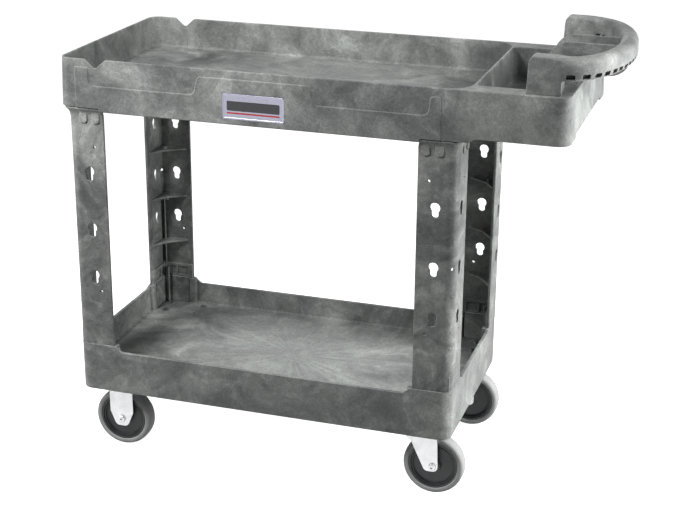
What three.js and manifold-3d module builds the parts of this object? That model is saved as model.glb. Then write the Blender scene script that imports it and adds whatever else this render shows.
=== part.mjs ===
// Two-shelf rolling utility cart in moulded structural foam.
//
// Units are millimetres and +Z is up. While it is built, X runs from the outer left edge of the upper
// deck towards the push handle, Y from the front face of the deck to the back, and Z from the floor.
// The exported group is then centred over the middle of the floor footprint.
import * as THREE from 'three';
import { mergeVertices } from 'three/addons/utils/BufferGeometryUtils.js';
import Module from 'manifold-3d';

const wasm = await Module();
wasm.setup();

// ---------------------------------------------------------------- driving dimensions
const GAP = 0.3; // clearance between pieces that touch
const ARC_STEPS = 3; // straight runs in a quarter turn of a rounded corner
const WALL = 5; // usual moulded wall

const DECK = {
  length: 1015, // X, outer
  width: 450, // Y, over the raised panels
  top: 859,
  cornerRadius: 26,
  skirtBottom: 753.5,
  draft: 4, // the end walls lean outwards, this much at the skirt's bottom
  cornerBottom: 760.5, // where the skirt stands on the legs
  cornerLength: 75, // from a leg's outer face
  overhangBottom: 768.5, // beyond the right legs
  endBottom: 776, // middle of the right end wall
  stepStart: 825,
  stepEnd: 848,
  floorTop: 793,
  floorBottom: 788,
  panelProud: 1.5, // raised lower panel on the long skirts
  dividerLeft: 827.5,
  dividerRight: 833,
  dividerFillet: 50,
  binRight: 1007,
  binFront: 48, // width of the long ledges beside the bin
  binFloorTop: 790,
  ledgeHollowRight: 990, // stops short of the rounded corner
};
const LEFT_NOTCH = { topLeft: 57, topRight: 103, bottomLeft: 77, bottomRight: 84, bottom: 842 };

const SHELF = {
  left: 7.5,
  right: 815,
  front: 8.5,
  bottom: 142,
  top: 247, // at the corners, where the legs stand
  longRailTop: 234,
  endRailTop: 241,
  cornerRadius: 26,
  rim: 6,
  floorTop: 186,
  floorBottom: 181,
  rampStart: 84, // end of the high corner, from the shelf's outer faces
  rampEnd: 98, // start of the low rails
  postStart: 72.5, // raised post beside each leg socket
  postEnd: 89.5,
  postDepth: 15,
};

const LEG = {
  inset: 10, // from the deck's outer faces
  flange: 79,
  wall: 6,
  cornerRadius: 20,
  top: DECK.floorBottom - GAP,
  flareBottom: 742, // the top is thicker outwards from here up
  flare: 4,
  lipBottom: 751, // and thicker again under the deck's skirt
  lip: 8,
  bandTop: 280, // thick band above the shelf corner
  bandDepth: 11,
  tongueBottom: SHELF.floorTop + 1,
  right: 814.5, // outer face of the right legs
  tongueInset: 6.5,
  tongueWall: 6,
  tongueLength: 63,
  tongueRadius: 18,
};
const KEYHOLE = { heights: [626, 506, 403], radius: 10, slot: 14, drop: 20, alongX: 43, alongY: 35 };
const PEG_HOLE = { heights: [677.5, 367], radius: 3, alongX: 56.5, alongY: 50 };
const CORNER_HOLE = { height: 505, radius: 3 };
const SNAP_BOSS = { starts: [28.5, 55.5], width: 16, bottom: 727, radius: 6, proud: 3 };
const GUSSET = { heights: [558, 446, 337], reach: 62, sag: 6, thickness: 4, web: 8, curve: 40 };
const KNOB = { radius: 4.5, height: 6 };
const BAND_POCKET = { starts: [22, 41], ends: [37, 67], bottom: 253, top: 276, depth: 6 };

const HANDLE = {
  bottom: DECK.top + GAP,
  top: 928,
  uprightLeft: 934,
  uprightRight: 995,
  thickness: 38, // of the uprights, seen from above
  gripThickness: 34,
  gripBottom: 885.5,
  front: 12, // front face of the front upright
  loopReach: 89, // half-ellipse of the grip's centreline, along X
  loopSteps: 16,
  gripTopRadius: 15,
  gripBottomRadius: 12,
  finFaces: [185.5, 260], // lower Y face of each of the two fins of the tool holder
  finThickness: 4.5,
  finLeft: 938,
  finRight: 1096,
  finBottom: 863,
  finTop: 923,
  finRadius: 40,
};
const GRIP_SLOT = { count: 20, length: 17, bottom: 889.5, top: 898.5, depth: 8 };
const HANDLE_SCREW = { xs: [950, 980], headRadius: 4.5, headHeight: 3, radius: 2.5, length: 18 };

const BADGE = { left: 349, right: 474.5, bottom: 765, top: 815, radius: 4, proud: 1, seat: 0.7 };

const CASTER = {
  wheelRadius: 63.5,
  tyreHalfWidth: 16,
  tyreInner: 51.5,
  hubOuter: 51.2,
  wheelSegments: 24,
  inset: 62, // wheel centre plane from the deck's long faces
  plateTop: 158.8,
  plateThickness: 3.5,
  plateLength: 92,
  plateWidth: 64,
  boltSpacingX: 76.2,
  boltSpacingY: 44.5,
  forkInner: 19, // half the gap between the fork legs
  forkWall: 2.5,
  axleRadius: 4.8,
  sleeveRadius: 7.5,
};
const RIGID = { x: 84, legWidth: 53, shoulder: 79.5, tipHalf: 13, tipRadius: 12, tipDrop: 4.5 };
const SWIVEL = {
  x: 738, // of the upright turning axis
  trail: 36.5,
  crownBottom: 139,
  crownTop: 143,
  crownBack: 29, // from the turning axis
  crownRadius: 18,
  legBack: 11, // top of a fork leg, behind the turning axis
  legFront: 8, // and in front of the axle
  tipBack: 16,
  tipFront: 12,
  tipRadius: 11,
  raceRadius: 28,
  pinRadius: 6,
  pinHole: 6.6,
  pinHeadRadius: 9.5,
  pinHeadDrop: 5,
};
const PAD = { halfLength: 48, halfWidth: 34 };
const FASTENER_CLEARANCE = 0.4;
const PLATE_BOLT = {
  radius: 3.9,
  headRadius: 7.5,
  headHeight: 4.5,
  nutRadius: 7,
  nutHeight: 6,
  end: 144.5,
};
const AXLE_BOLT = { headRadius: 8, headHeight: 5, past: 9 };
const AXLE_NUT = { radius: 8.5, height: 7 };
const HUB = { bossRadius: 15, webStart: 17, webEnd: 43, rimStart: 45, webHalf: 9, rimHalf: 14.5 };
const TREAD_CHAMFER = { side: 8, along: 7 };

const HANDLE_END = HANDLE.uprightRight + HANDLE.loopReach + HANDLE.gripThickness / 2;
const MIDDLE_X = (HANDLE_END - DECK.draft) / 2;

// ---------------------------------------------------------------- materials
const material = (color, roughness, metalness = 0) =>
  new THREE.MeshStandardMaterial({ color, roughness, metalness });
const FOAM = material(0x7c7f7c, 0.6);
const ZINC = material(0xd9dcdf, 0.3, 0.9);
const RUBBER = material(0xa5a7a6, 0.7);
const HUB_PLASTIC = material(0x3c3e40, 0.5);
const PLATE = material(0xc9cadb, 0.35, 0.6);

// ---------------------------------------------------------------- geometry helpers
function solidOf(geometry) {
  geometry.deleteAttribute('normal');
  geometry.deleteAttribute('uv');
  const merged = mergeVertices(geometry, 1e-3);
  const mesh = new wasm.Mesh({
    numProp: 3,
    vertProperties: new Float32Array(merged.attributes.position.array),
    triVerts: new Uint32Array(merged.index.array),
  });
  return new wasm.Manifold(mesh);
}

function meshOf(name, solid, finish) {
  const mesh = solid.getMesh();
  const geometry = new THREE.BufferGeometry();
  geometry.setAttribute('position', new THREE.BufferAttribute(mesh.vertProperties, 3));
  geometry.setIndex(new THREE.BufferAttribute(mesh.triVerts, 1));
  const result = new THREE.Mesh(geometry, finish);
  result.name = name;
  return result;
}

const union = (solids) => solids.reduce((whole, piece) => whole.add(piece));
const cutAll = (solid, cutters) => cutters.reduce((rest, cutter) => rest.subtract(cutter), solid);

// Corners are [u, v, radius]: a polygon whose corners are each rounded by their own radius.
function rounded(corners) {
  const outline = [];
  corners.forEach(([u, v, radius = 0], i) => {
    const corner = new THREE.Vector2(u, v);
    if (radius === 0) {
      outline.push(corner);
      return;
    }
    const before = corners[(i + corners.length - 1) % corners.length];
    const after = corners[(i + 1) % corners.length];
    const back = new THREE.Vector2(before[0] - u, before[1] - v).normalize();
    const on = new THREE.Vector2(after[0] - u, after[1] - v).normalize();
    const half = Math.acos(back.dot(on)) / 2;
    const centre = back.clone().add(on).normalize().multiplyScalar(radius / Math.sin(half)).add(corner);
    const from = back.clone().multiplyScalar(radius / Math.tan(half)).add(corner).sub(centre);
    const turn = (Math.PI - 2 * half) * (back.cross(on) > 0 ? -1 : 1);
    const steps = Math.max(1, Math.round((Math.abs(turn) / (Math.PI / 2)) * ARC_STEPS));
    for (let step = 0; step <= steps; step += 1) {
      const spoke = from.clone().rotateAround(new THREE.Vector2(), (turn * step) / steps);
      outline.push(spoke.add(centre));
    }
  });
  return outline;
}

const rectangle = (u0, u1, v0, v1, radius = 0) =>
  rounded([[u0, v0, radius], [u1, v0, radius], [u1, v1, radius], [u0, v1, radius]]);

const AXES = {
  x: [new THREE.Vector3(0, 1, 0), new THREE.Vector3(0, 0, 1), new THREE.Vector3(1, 0, 0)],
  y: [new THREE.Vector3(1, 0, 0), new THREE.Vector3(0, 0, 1), new THREE.Vector3(0, -1, 0)],
  z: [new THREE.Vector3(1, 0, 0), new THREE.Vector3(0, 1, 0), new THREE.Vector3(0, 0, 1)],
};

// Extrudes an outline along an axis: its points are (y, z) for x, (x, z) for y and (x, y) for z.
function prism(axis, outline, from, to) {
  const low = Math.min(from, to);
  const depth = Math.abs(to - from);
  const options = { depth, bevelEnabled: false, steps: 1 };
  const geometry = new THREE.ExtrudeGeometry(new THREE.Shape(outline), options);
  geometry.applyMatrix4(new THREE.Matrix4().makeBasis(...AXES[axis]));
  const start = axis === 'y' ? low + depth : low;
  geometry.translate(axis === 'x' ? start : 0, axis === 'y' ? start : 0, axis === 'z' ? start : 0);
  return solidOf(geometry);
}

const block = (x0, x1, y0, y1, z0, z1) =>
  prism('z', rectangle(Math.min(x0, x1), Math.max(x0, x1), Math.min(y0, y1), Math.max(y0, y1)), z0, z1);

const circle = (u, v, radius, sides, turn = 0) =>
  Array.from({ length: sides }, (_, i) => {
    const angle = turn + (2 * Math.PI * i) / sides;
    return new THREE.Vector2(u + radius * Math.cos(angle), v + radius * Math.sin(angle));
  });

const rod = (axis, u, v, radius, from, to, sides = 12) =>
  prism(axis, circle(u, v, radius, sides), from, to);

// A ring-shaped solid about the Y axis. The profile is [radius, y] and closes on itself. The facets
// are turned so that a flat one is lowest, which lets a wheel stand still.
function turned(profile) {
  const points = [...profile, profile[0]].map(([radius, y]) => new THREE.Vector2(radius, y));
  const segments = CASTER.wheelSegments;
  return solidOf(new THREE.LatheGeometry(points, segments, Math.PI / segments));
}

// ---------------------------------------------------------------- upper deck
const acrossDeck = (y) => DECK.width - y;

function panelOutline() {
  return rounded([
    [36, DECK.skirtBottom, 0], [36, 843, 4], [65, 843, 6], [67, 806, 14], [288, 806, 12],
    [297, 843, 10], [525, 843, 10], [534, 806, 10], [755, 806, 13], [759, 843, 8],
    [781, 843, 6], [781, DECK.skirtBottom, 0],
  ]);
}

// The outer block of the deck: its end walls lean outwards towards the bottom.
function deckBlock() {
  const { length, top, skirtBottom, panelProud, cornerRadius, draft } = DECK;
  const outline = rectangle(0, length, panelProud, acrossDeck(panelProud), cornerRadius);
  const options = { depth: top - skirtBottom, bevelEnabled: false, steps: 1 };
  const geometry = new THREE.ExtrudeGeometry(new THREE.Shape(outline), options);
  const position = geometry.attributes.position;
  for (let i = 0; i < position.count; i += 1) {
    const lean = position.getZ(i) < 1 ? draft : 0;
    const x = position.getX(i);
    position.setX(i, x < length / 2 ? x - lean : x + lean);
  }
  geometry.translate(0, 0, skirtBottom);
  return solidOf(geometry);
}

function upperDeck() {
  const { length, top, skirtBottom, panelProud, cornerRadius, draft } = DECK;
  const skirtFront = panelProud;
  const skirtBack = acrossDeck(skirtFront);
  const shell = deckBlock();
  const panels = prism('y', panelOutline(), 0, DECK.width)
    .subtract(block(0, length, skirtFront + 1, skirtBack - 1, skirtBottom - 1, top));
  const overhang = prism('y', rounded([
    [DECK.stepStart, skirtBottom - 1], [DECK.stepStart + 5, skirtBottom, 10],
    [DECK.stepEnd - 5, DECK.overhangBottom, 10], [length + draft + 1, DECK.overhangBottom],
    [length + draft + 1, skirtBottom - 1],
  ]), -1, DECK.width + 1);
  const legSeats = CORNERS.map(({ legX, y }) => block(legX(-2 * LEG.inset), legX(DECK.cornerLength),
    y(-1), y(LEG.inset + DECK.cornerLength), skirtBottom - 1, DECK.cornerBottom));
  const endRise = prism('x', rounded([
    [65, DECK.overhangBottom - 1], [78, DECK.endBottom, 6],
    [acrossDeck(78), DECK.endBottom, 6], [acrossDeck(65), DECK.overhangBottom - 1],
  ]), DECK.binRight - 20, length + draft + 1);
  const inner = WALL + 0.7;
  const tray = prism('z', rounded([
    [WALL, inner, cornerRadius - WALL], [DECK.dividerLeft, inner, DECK.dividerFillet],
    [DECK.dividerLeft, acrossDeck(inner), DECK.dividerFillet],
    [WALL, acrossDeck(inner), cornerRadius - WALL],
  ]), DECK.floorTop, top + 1);
  const bin = prism('z', rectangle(DECK.dividerRight, DECK.binRight, DECK.binFront,
    acrossDeck(DECK.binFront), 10), DECK.binFloorTop, top + 1);
  const underTray = prism('z', rectangle(WALL, DECK.dividerLeft, inner, acrossDeck(inner),
    cornerRadius - WALL), skirtBottom - 1, DECK.floorBottom);
  const binLeft = DECK.dividerRight + WALL;
  const underBin = prism('z', rounded([
    [binLeft, inner], [DECK.binRight, inner, cornerRadius - WALL - 1],
    [DECK.binRight, acrossDeck(inner), cornerRadius - WALL - 1], [binLeft, acrossDeck(inner)],
  ]), skirtBottom - 1, DECK.binFloorTop - WALL);
  const ledgeHollows = [inner, acrossDeck(DECK.binFront - WALL)].map((y) => block(binLeft,
    DECK.ledgeHollowRight, y, y + DECK.binFront - WALL - inner, skirtBottom, top - WALL));
  const notches = prism('y', rounded([
    [LEFT_NOTCH.topLeft, top + 1], [LEFT_NOTCH.bottomLeft, LEFT_NOTCH.bottom],
    [LEFT_NOTCH.bottomRight, LEFT_NOTCH.bottom], [LEFT_NOTCH.topRight, top + 1],
  ]), -1, DECK.width + 1);
  const badgeSeat = block(BADGE.left - GAP, BADGE.right + GAP, -1, BADGE.seat,
    BADGE.bottom - GAP, BADGE.top + GAP);
  const screwHoles = uprightCentres().flatMap((y) => HANDLE_SCREW.xs.map((x) =>
    rod('z', x, y, HANDLE_SCREW.radius + FASTENER_CLEARANCE, top - WALL - 1, top + 1, 10)));
  return cutAll(shell.add(panels), [
    overhang, endRise, ...legSeats, tray, bin, underTray, underBin, ...ledgeHollows, notches,
    badgeSeat, ...screwHoles,
  ]);
}

function badgePlate() {
  const outline = rectangle(BADGE.left, BADGE.right, BADGE.bottom, BADGE.top, BADGE.radius);
  return prism('y', outline, -BADGE.proud, BADGE.seat - GAP);
}

// ---------------------------------------------------------------- push handle
function uprightCentres() {
  const front = HANDLE.front + HANDLE.thickness / 2;
  return [front, acrossDeck(front)];
}

// Centreline of the grip in plan: a half-ellipse from the front upright round to the back one.
class GripCurve extends THREE.Curve {
  getPoint(t, target = new THREE.Vector3()) {
    const angle = Math.PI * (t - 0.5);
    const [front, back] = uprightCentres();
    const x = HANDLE.uprightRight + HANDLE.loopReach * Math.cos(angle);
    const y = (front + back) / 2 + ((back - front) / 2) * Math.sin(angle);
    return target.set(x, y, (HANDLE.gripBottom + HANDLE.top) / 2);
  }
}

function pushHandle() {
  const half = HANDLE.thickness / 2;
  const gripHalf = HANDLE.gripThickness / 2;
  const rise = (HANDLE.top - HANDLE.gripBottom) / 2;
  const section = rounded([
    [-rise, -gripHalf, HANDLE.gripTopRadius], [rise, -gripHalf, HANDLE.gripBottomRadius],
    [rise, gripHalf, HANDLE.gripBottomRadius], [-rise, gripHalf, HANDLE.gripTopRadius],
  ]);
  const curve = new GripCurve();
  const grip = solidOf(new THREE.ExtrudeGeometry(new THREE.Shape(section), {
    steps: HANDLE.loopSteps, extrudePath: curve, bevelEnabled: false,
  }));
  const uprights = uprightCentres().map((y) => prism('y', rounded([
    [HANDLE.uprightLeft - 2, HANDLE.bottom], [HANDLE.uprightLeft + 1, HANDLE.top, 9],
    [HANDLE.uprightRight + 3, HANDLE.top], [HANDLE.uprightRight + 3, HANDLE.gripBottom],
    [HANDLE.uprightRight, HANDLE.gripBottom], [HANDLE.uprightRight, HANDLE.bottom],
  ]), y - half, y + half));
  const fins = HANDLE.finFaces.map((y) => prism('y', rounded([
    [HANDLE.finLeft, HANDLE.finBottom, 8], [HANDLE.finRight, HANDLE.finBottom, HANDLE.finRadius],
    [HANDLE.finRight, HANDLE.finTop], [HANDLE.finLeft, HANDLE.finTop, HANDLE.finRadius],
  ]), y, y + HANDLE.finThickness));
  const slots = Array.from({ length: GRIP_SLOT.count }, (_, i) => {
    const t = (i + 0.5) / GRIP_SLOT.count;
    const centre = curve.getPointAt(t);
    const along = curve.getTangentAt(t);
    const outward = gripHalf - GRIP_SLOT.depth / 2 + 1;
    const tall = GRIP_SLOT.top - GRIP_SLOT.bottom;
    const box = new THREE.BoxGeometry(GRIP_SLOT.length, GRIP_SLOT.depth + 2, tall);
    box.rotateZ(Math.atan2(along.y, along.x));
    const height = (GRIP_SLOT.top + GRIP_SLOT.bottom) / 2;
    box.translate(centre.x + along.y * outward, centre.y - along.x * outward, height);
    return solidOf(box);
  });
  const pilots = uprightCentres().flatMap((y) => HANDLE_SCREW.xs.map((x) =>
    rod('z', x, y, HANDLE_SCREW.radius + FASTENER_CLEARANCE, HANDLE.bottom - 1,
      DECK.top - WALL + HANDLE_SCREW.length + 1, 10)));
  return cutAll(union([grip, ...uprights, ...fins]), [...slots, ...pilots]);
}

function handleScrew(x, y) {
  const seat = DECK.top - WALL - GAP;
  return rod('z', x, y, HANDLE_SCREW.headRadius, seat - HANDLE_SCREW.headHeight, seat, 10)
    .add(rod('z', x, y, HANDLE_SCREW.radius, seat - 1, seat + HANDLE_SCREW.length, 8));
}

// ---------------------------------------------------------------- lower shelf and its corners
// A corner gives its outer X and Y for an inset, so one description serves all four.
const CORNERS = ['front', 'rear'].flatMap((depth) => ['left', 'right'].map((side) => ({
  name: `${depth}_${side}`,
  legX: (d) => (side === 'left' ? LEG.inset + d : LEG.right - d),
  shelfX: (d) => (side === 'left' ? SHELF.left + d : SHELF.right - d),
  y: (d) => (depth === 'front' ? d : DECK.width - d),
})));

const CASTERS = ['front', 'rear'].flatMap((depth) => ['rigid', 'swivel'].map((type) => ({
  name: `${type}_${depth}`,
  depth,
  type,
  x: type === 'rigid' ? RIGID.x : SWIVEL.x,
  wheelX: type === 'rigid' ? RIGID.x : SWIVEL.x + SWIVEL.trail,
  y: depth === 'front' ? CASTER.inset : DECK.width - CASTER.inset,
})));

const boltPlaces = (caster) => [-1, 1].flatMap((sx) => [-1, 1].map((sy) => [
  caster.x + (sx * CASTER.boltSpacingX) / 2,
  caster.y + (sy * CASTER.boltSpacingY) / 2,
]));

function lowerShelf() {
  const { left, right, front, bottom, top, cornerRadius, rim } = SHELF;
  const back = DECK.width - front;
  const shell = prism('z', rectangle(left, right, front, back, cornerRadius), bottom, top);
  const railCut = (low, high, railTop) => rounded([
    [low + SHELF.rampStart, top + 1], [low + SHELF.rampStart, top],
    [low + SHELF.rampEnd, railTop, 8], [high - SHELF.rampEnd, railTop, 8],
    [high - SHELF.rampStart, top], [high - SHELF.rampStart, top + 1],
  ]);
  const longRailCut = prism('y', railCut(left, right, SHELF.longRailTop), 0, DECK.width);
  const endRailCut = prism('x', railCut(front, back, SHELF.endRailTop), 0, DECK.length);
  const tray = prism('z', rectangle(left + rim, right - rim, front + rim, back - rim,
    cornerRadius - rim), SHELF.floorTop, top + 1);
  const hollow = prism('z', rectangle(left + WALL, right - WALL, front + WALL, back - WALL,
    cornerRadius - WALL), bottom - 1, SHELF.floorBottom);
  const posts = CORNERS.flatMap(({ shelfX, y }) => [
    block(shelfX(SHELF.postStart), shelfX(SHELF.postEnd), y(front + 1), y(front + SHELF.postDepth),
      SHELF.floorBottom + 1, top),
    block(shelfX(1), shelfX(SHELF.postDepth), y(front + SHELF.postStart), y(front + SHELF.postEnd),
      SHELF.floorBottom + 1, top),
  ]);
  const pads = CASTERS.map(({ x, y }) => block(x - PAD.halfLength, x + PAD.halfLength,
    y - PAD.halfWidth, y + PAD.halfWidth, CASTER.plateTop + GAP, SHELF.floorBottom + 1));
  const holes = CASTERS.flatMap(boltPlaces).map(([x, y]) =>
    rod('z', x, y, PLATE_BOLT.radius + FASTENER_CLEARANCE, bottom, top, 8));
  const walls = cutAll(shell, [longRailCut, endRailCut, tray, hollow]);
  return cutAll(union([walls, ...posts, ...pads]), holes);
}

// ---------------------------------------------------------------- legs
// An L in plan, standing in a corner: outer faces at the inset, two flanges, and a rounded outer edge.
function angle(corner, inset, flange, wall, radius, from, to) {
  const at = (dx, dy) => [corner.legX(inset + dx), corner.y(LEG.inset + inset + dy)];
  return prism('z', rounded([
    [...at(0, 0), radius], [...at(flange, 0)], [...at(flange, wall)],
    [...at(wall, wall), Math.max(radius - wall, 0)], [...at(wall, flange)], [...at(0, flange)],
  ]), from, to);
}

function keyhole(axis, u, height, from, to) {
  const slotBottom = height - KEYHOLE.drop;
  const half = KEYHOLE.slot / 2;
  const slot = prism(axis, rounded([
    [u - half, slotBottom, half - 0.5], [u + half, slotBottom, half - 0.5],
    [u + half, height], [u - half, height],
  ]), from, to);
  return rod(axis, u, height, KEYHOLE.radius, from, to, 10).add(slot);
}

function gusset(corner, height) {
  const { reach, web } = GUSSET;
  const inner = LEG.wall - 1;
  const mid = (reach + inner + web) / 2 - GUSSET.sag;
  const at = (dx, dy) => [corner.legX(dx), corner.y(LEG.inset + dy)];
  return prism('z', rounded([
    [...at(inner, inner)], [...at(reach + web, inner)], [...at(reach, inner + web)],
    [...at(mid, mid), GUSSET.curve], [...at(inner + web, reach)], [...at(inner, reach + web)],
  ]), height, height + GUSSET.thickness);
}

// Two tabs under the deck's skirt on each flange, proud of its outer face.
function snapBosses({ legX }, y) {
  const { bottom, radius, proud, width } = SNAP_BOSS;
  return SNAP_BOSS.starts.flatMap((start) => {
    const tab = (u0, u1) => rounded([
      [u0, bottom, radius], [u1, bottom, radius], [u1, LEG.lipBottom + 1], [u0, LEG.lipBottom + 1],
    ]);
    return [
      prism('y', tab(legX(start), legX(start + width)), y(-proud), y(1)),
      prism('x', tab(y(start), y(start + width)), legX(-proud), legX(1)),
    ];
  });
}

function leg(corner) {
  const { legX } = corner;
  const y = (d) => corner.y(LEG.inset + d);
  const shelfTop = SHELF.top + GAP;
  const body = angle(corner, 0, LEG.flange, LEG.wall, LEG.cornerRadius, shelfTop, LEG.flareBottom + 1);
  const thickened = (out, length, from, to) => angle(corner, -out, length + out, LEG.wall + out,
    LEG.cornerRadius, from, to);
  const collar = thickened(LEG.flare, LEG.flange, LEG.flareBottom, LEG.top);
  const lip = thickened(LEG.lip, DECK.cornerLength - GAP, LEG.lipBottom, DECK.cornerBottom - GAP);
  const bosses = snapBosses(corner, y);
  const band = angle(corner, 0, LEG.flange, LEG.bandDepth, LEG.cornerRadius, shelfTop, LEG.bandTop);
  const tongue = angle(corner, LEG.tongueInset, LEG.tongueLength, LEG.tongueWall,
    LEG.tongueRadius, LEG.tongueBottom, shelfTop + 1);
  const gussets = GUSSET.heights.map((height) => gusset(corner, height));
  const knobAt = (LEG.wall + GUSSET.reach) / 2 - GUSSET.sag;
  const knobSpans = [
    [GUSSET.heights[0] + 1, GUSSET.heights[0] + GUSSET.thickness + KNOB.height],
    [GUSSET.heights[1] - KNOB.height, GUSSET.heights[1] + 1],
  ];
  const knobs = knobSpans.map(([from, to]) =>
    rod('z', legX(knobAt), y(knobAt), KNOB.radius, from, to, 10));

  const outer = -1;
  const keyholes = KEYHOLE.heights.flatMap((height) => [
    keyhole('y', legX(KEYHOLE.alongX), height, y(outer), y(LEG.wall + 1)),
    keyhole('x', y(KEYHOLE.alongY), height, legX(outer), legX(LEG.wall + 1)),
  ]);
  const pegHoles = PEG_HOLE.heights.flatMap((height) => [
    rod('y', legX(PEG_HOLE.alongX), height, PEG_HOLE.radius, y(outer), y(LEG.wall + 1), 6),
    rod('x', y(PEG_HOLE.alongY), height, PEG_HOLE.radius, legX(outer), legX(LEG.wall + 1), 6),
  ]);
  const cornerHole = new THREE.CylinderGeometry(CORNER_HOLE.radius, CORNER_HOLE.radius, 40, 6);
  cornerHole.applyQuaternion(new THREE.Quaternion().setFromUnitVectors(
    new THREE.Vector3(0, 1, 0), new THREE.Vector3(legX(1) - legX(0), y(1) - y(0), 0).normalize()));
  cornerHole.translate(legX(0), y(0), CORNER_HOLE.height);
  const bandPockets = BAND_POCKET.starts.flatMap((start, i) => {
    const end = BAND_POCKET.ends[i];
    const { bottom, top } = BAND_POCKET;
    const floor = LEG.bandDepth - BAND_POCKET.depth + 1;
    return [
      block(legX(start), legX(end), y(floor), y(LEG.bandDepth + 1), bottom, top),
      block(legX(floor), legX(LEG.bandDepth + 1), y(start), y(end), bottom, top),
    ];
  });
  return cutAll(union([body, collar, lip, band, tongue, ...bosses, ...gussets, ...knobs]),
    [...keyholes, ...pegHoles, solidOf(cornerHole), ...bandPockets]);
}

// ---------------------------------------------------------------- casters
const forkOuter = CASTER.forkInner + CASTER.forkWall;
const plateBottom = CASTER.plateTop - CASTER.plateThickness;

function mountingPlate(caster) {
  const holes = boltPlaces(caster).map(([x, y]) =>
    rod('z', x, y, PLATE_BOLT.radius + FASTENER_CLEARANCE, plateBottom - 1, CASTER.plateTop + 1, 8));
  const { x, y } = caster;
  const plate = prism('z', rectangle(x - CASTER.plateLength / 2, x + CASTER.plateLength / 2,
    y - CASTER.plateWidth / 2, y + CASTER.plateWidth / 2, 6), plateBottom, CASTER.plateTop);
  return cutAll(plate, holes);
}

const bothSides = (build) => [-1, 1].map((side) => build(side * CASTER.forkInner, side * forkOuter));

function axleHole({ wheelX, y }) {
  return rod('y', wheelX, CASTER.wheelRadius, CASTER.axleRadius + FASTENER_CLEARANCE,
    y - forkOuter - 1, y + forkOuter + 1, 14);
}

function rigidFork(caster) {
  const { x, y } = caster;
  const half = RIGID.legWidth / 2;
  const axle = CASTER.wheelRadius;
  const tip = axle - RIGID.tipDrop - RIGID.tipRadius;
  const outline = rounded([
    [x - half, plateBottom + 1], [x - half, RIGID.shoulder, 4],
    [x - RIGID.tipHalf, tip, RIGID.tipRadius - 1], [x + RIGID.tipHalf, tip, RIGID.tipRadius - 1],
    [x + half, RIGID.shoulder, 4], [x + half, plateBottom + 1],
  ]);
  const legs = bothSides((inner, outer) => prism('y', outline, y + inner, y + outer));
  return cutAll(union([mountingPlate(caster), ...legs]), [axleHole(caster)]);
}

function swivelFork(caster) {
  const { x, y, wheelX } = caster;
  const { crownBottom, crownTop, tipRadius } = SWIVEL;
  const axle = CASTER.wheelRadius;
  const tip = axle - tipRadius;
  const outline = rounded([
    [x - SWIVEL.legBack, crownBottom + 1], [wheelX - SWIVEL.tipBack, tip, tipRadius - 1],
    [wheelX + SWIVEL.tipFront, tip, tipRadius - 1], [wheelX + SWIVEL.legFront, crownBottom + 1],
  ]);
  const legs = bothSides((inner, outer) => prism('y', outline, y + inner, y + outer));
  const crown = prism('z', rectangle(x - SWIVEL.crownBack, wheelX + SWIVEL.legFront,
    y - forkOuter, y + forkOuter, SWIVEL.crownRadius), crownBottom, crownTop);
  const pinHole = rod('z', x, y, SWIVEL.pinHole, crownBottom - 1, crownTop + 1, 12);
  return cutAll(union([crown, ...legs]), [pinHole, axleHole(caster)]);
}

// The steel race that the fork turns under, and the pin that holds it.
function swivelRace({ x, y }) {
  const bottom = SWIVEL.crownTop + GAP;
  const hole = rod('z', x, y, SWIVEL.pinHole, bottom - 1, CASTER.plateTop, 12);
  return rod('z', x, y, SWIVEL.raceRadius, bottom, plateBottom - GAP, 18).subtract(hole);
}

function kingpin({ x, y }) {
  const head = SWIVEL.crownBottom - SWIVEL.pinHeadDrop;
  const shaft = rod('z', x, y, SWIVEL.pinRadius, head + 1, plateBottom - GAP);
  return shaft.add(rod('z', x, y, SWIVEL.pinHeadRadius, head, SWIVEL.crownBottom - GAP));
}

function axleBolt({ wheelX, y }) {
  const height = CASTER.wheelRadius;
  const seat = y - forkOuter - GAP;
  const end = y + forkOuter + AXLE_BOLT.past;
  const head = rod('y', wheelX, height, AXLE_BOLT.headRadius, seat - AXLE_BOLT.headHeight, seat);
  return head.add(rod('y', wheelX, height, CASTER.axleRadius, seat - 1, end));
}

function axleNut({ wheelX, y }) {
  const height = CASTER.wheelRadius;
  const seat = y + forkOuter + GAP;
  const end = seat + AXLE_NUT.height;
  const bore = CASTER.axleRadius + FASTENER_CLEARANCE;
  return rod('y', wheelX, height, AXLE_NUT.radius, seat, end, 6)
    .subtract(rod('y', wheelX, height, bore, seat - 1, end + 1));
}

function axleSleeve({ wheelX, y }) {
  const height = CASTER.wheelRadius;
  const half = CASTER.forkInner - GAP;
  const bore = CASTER.axleRadius + FASTENER_CLEARANCE;
  return rod('y', wheelX, height, CASTER.sleeveRadius, y - half, y + half, 16)
    .subtract(rod('y', wheelX, height, bore, y - half - 1, y + half + 1));
}

function wheelHub() {
  const bore = CASTER.sleeveRadius + FASTENER_CLEARANCE;
  const outer = CASTER.hubOuter;
  const boss = CASTER.forkInner - 0.5;
  const { bossRadius, webStart, webEnd, rimStart, webHalf, rimHalf } = HUB;
  const face = [
    [bore, boss], [bossRadius, boss], [webStart, webHalf], [webEnd, webHalf],
    [rimStart, rimHalf], [outer, rimHalf],
  ];
  const back = face.map(([radius, along]) => [radius, -along]);
  return turned([...back, ...face.reverse()]);
}

function tyre() {
  const half = CASTER.tyreHalfWidth;
  const tread = CASTER.wheelRadius / Math.cos(Math.PI / CASTER.wheelSegments);
  const { side, along } = TREAD_CHAMFER;
  return turned([
    [CASTER.tyreInner, -half], [tread - side, -half], [tread, along - half],
    [tread, half - along], [tread - side, half], [CASTER.tyreInner, half],
  ]);
}

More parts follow.
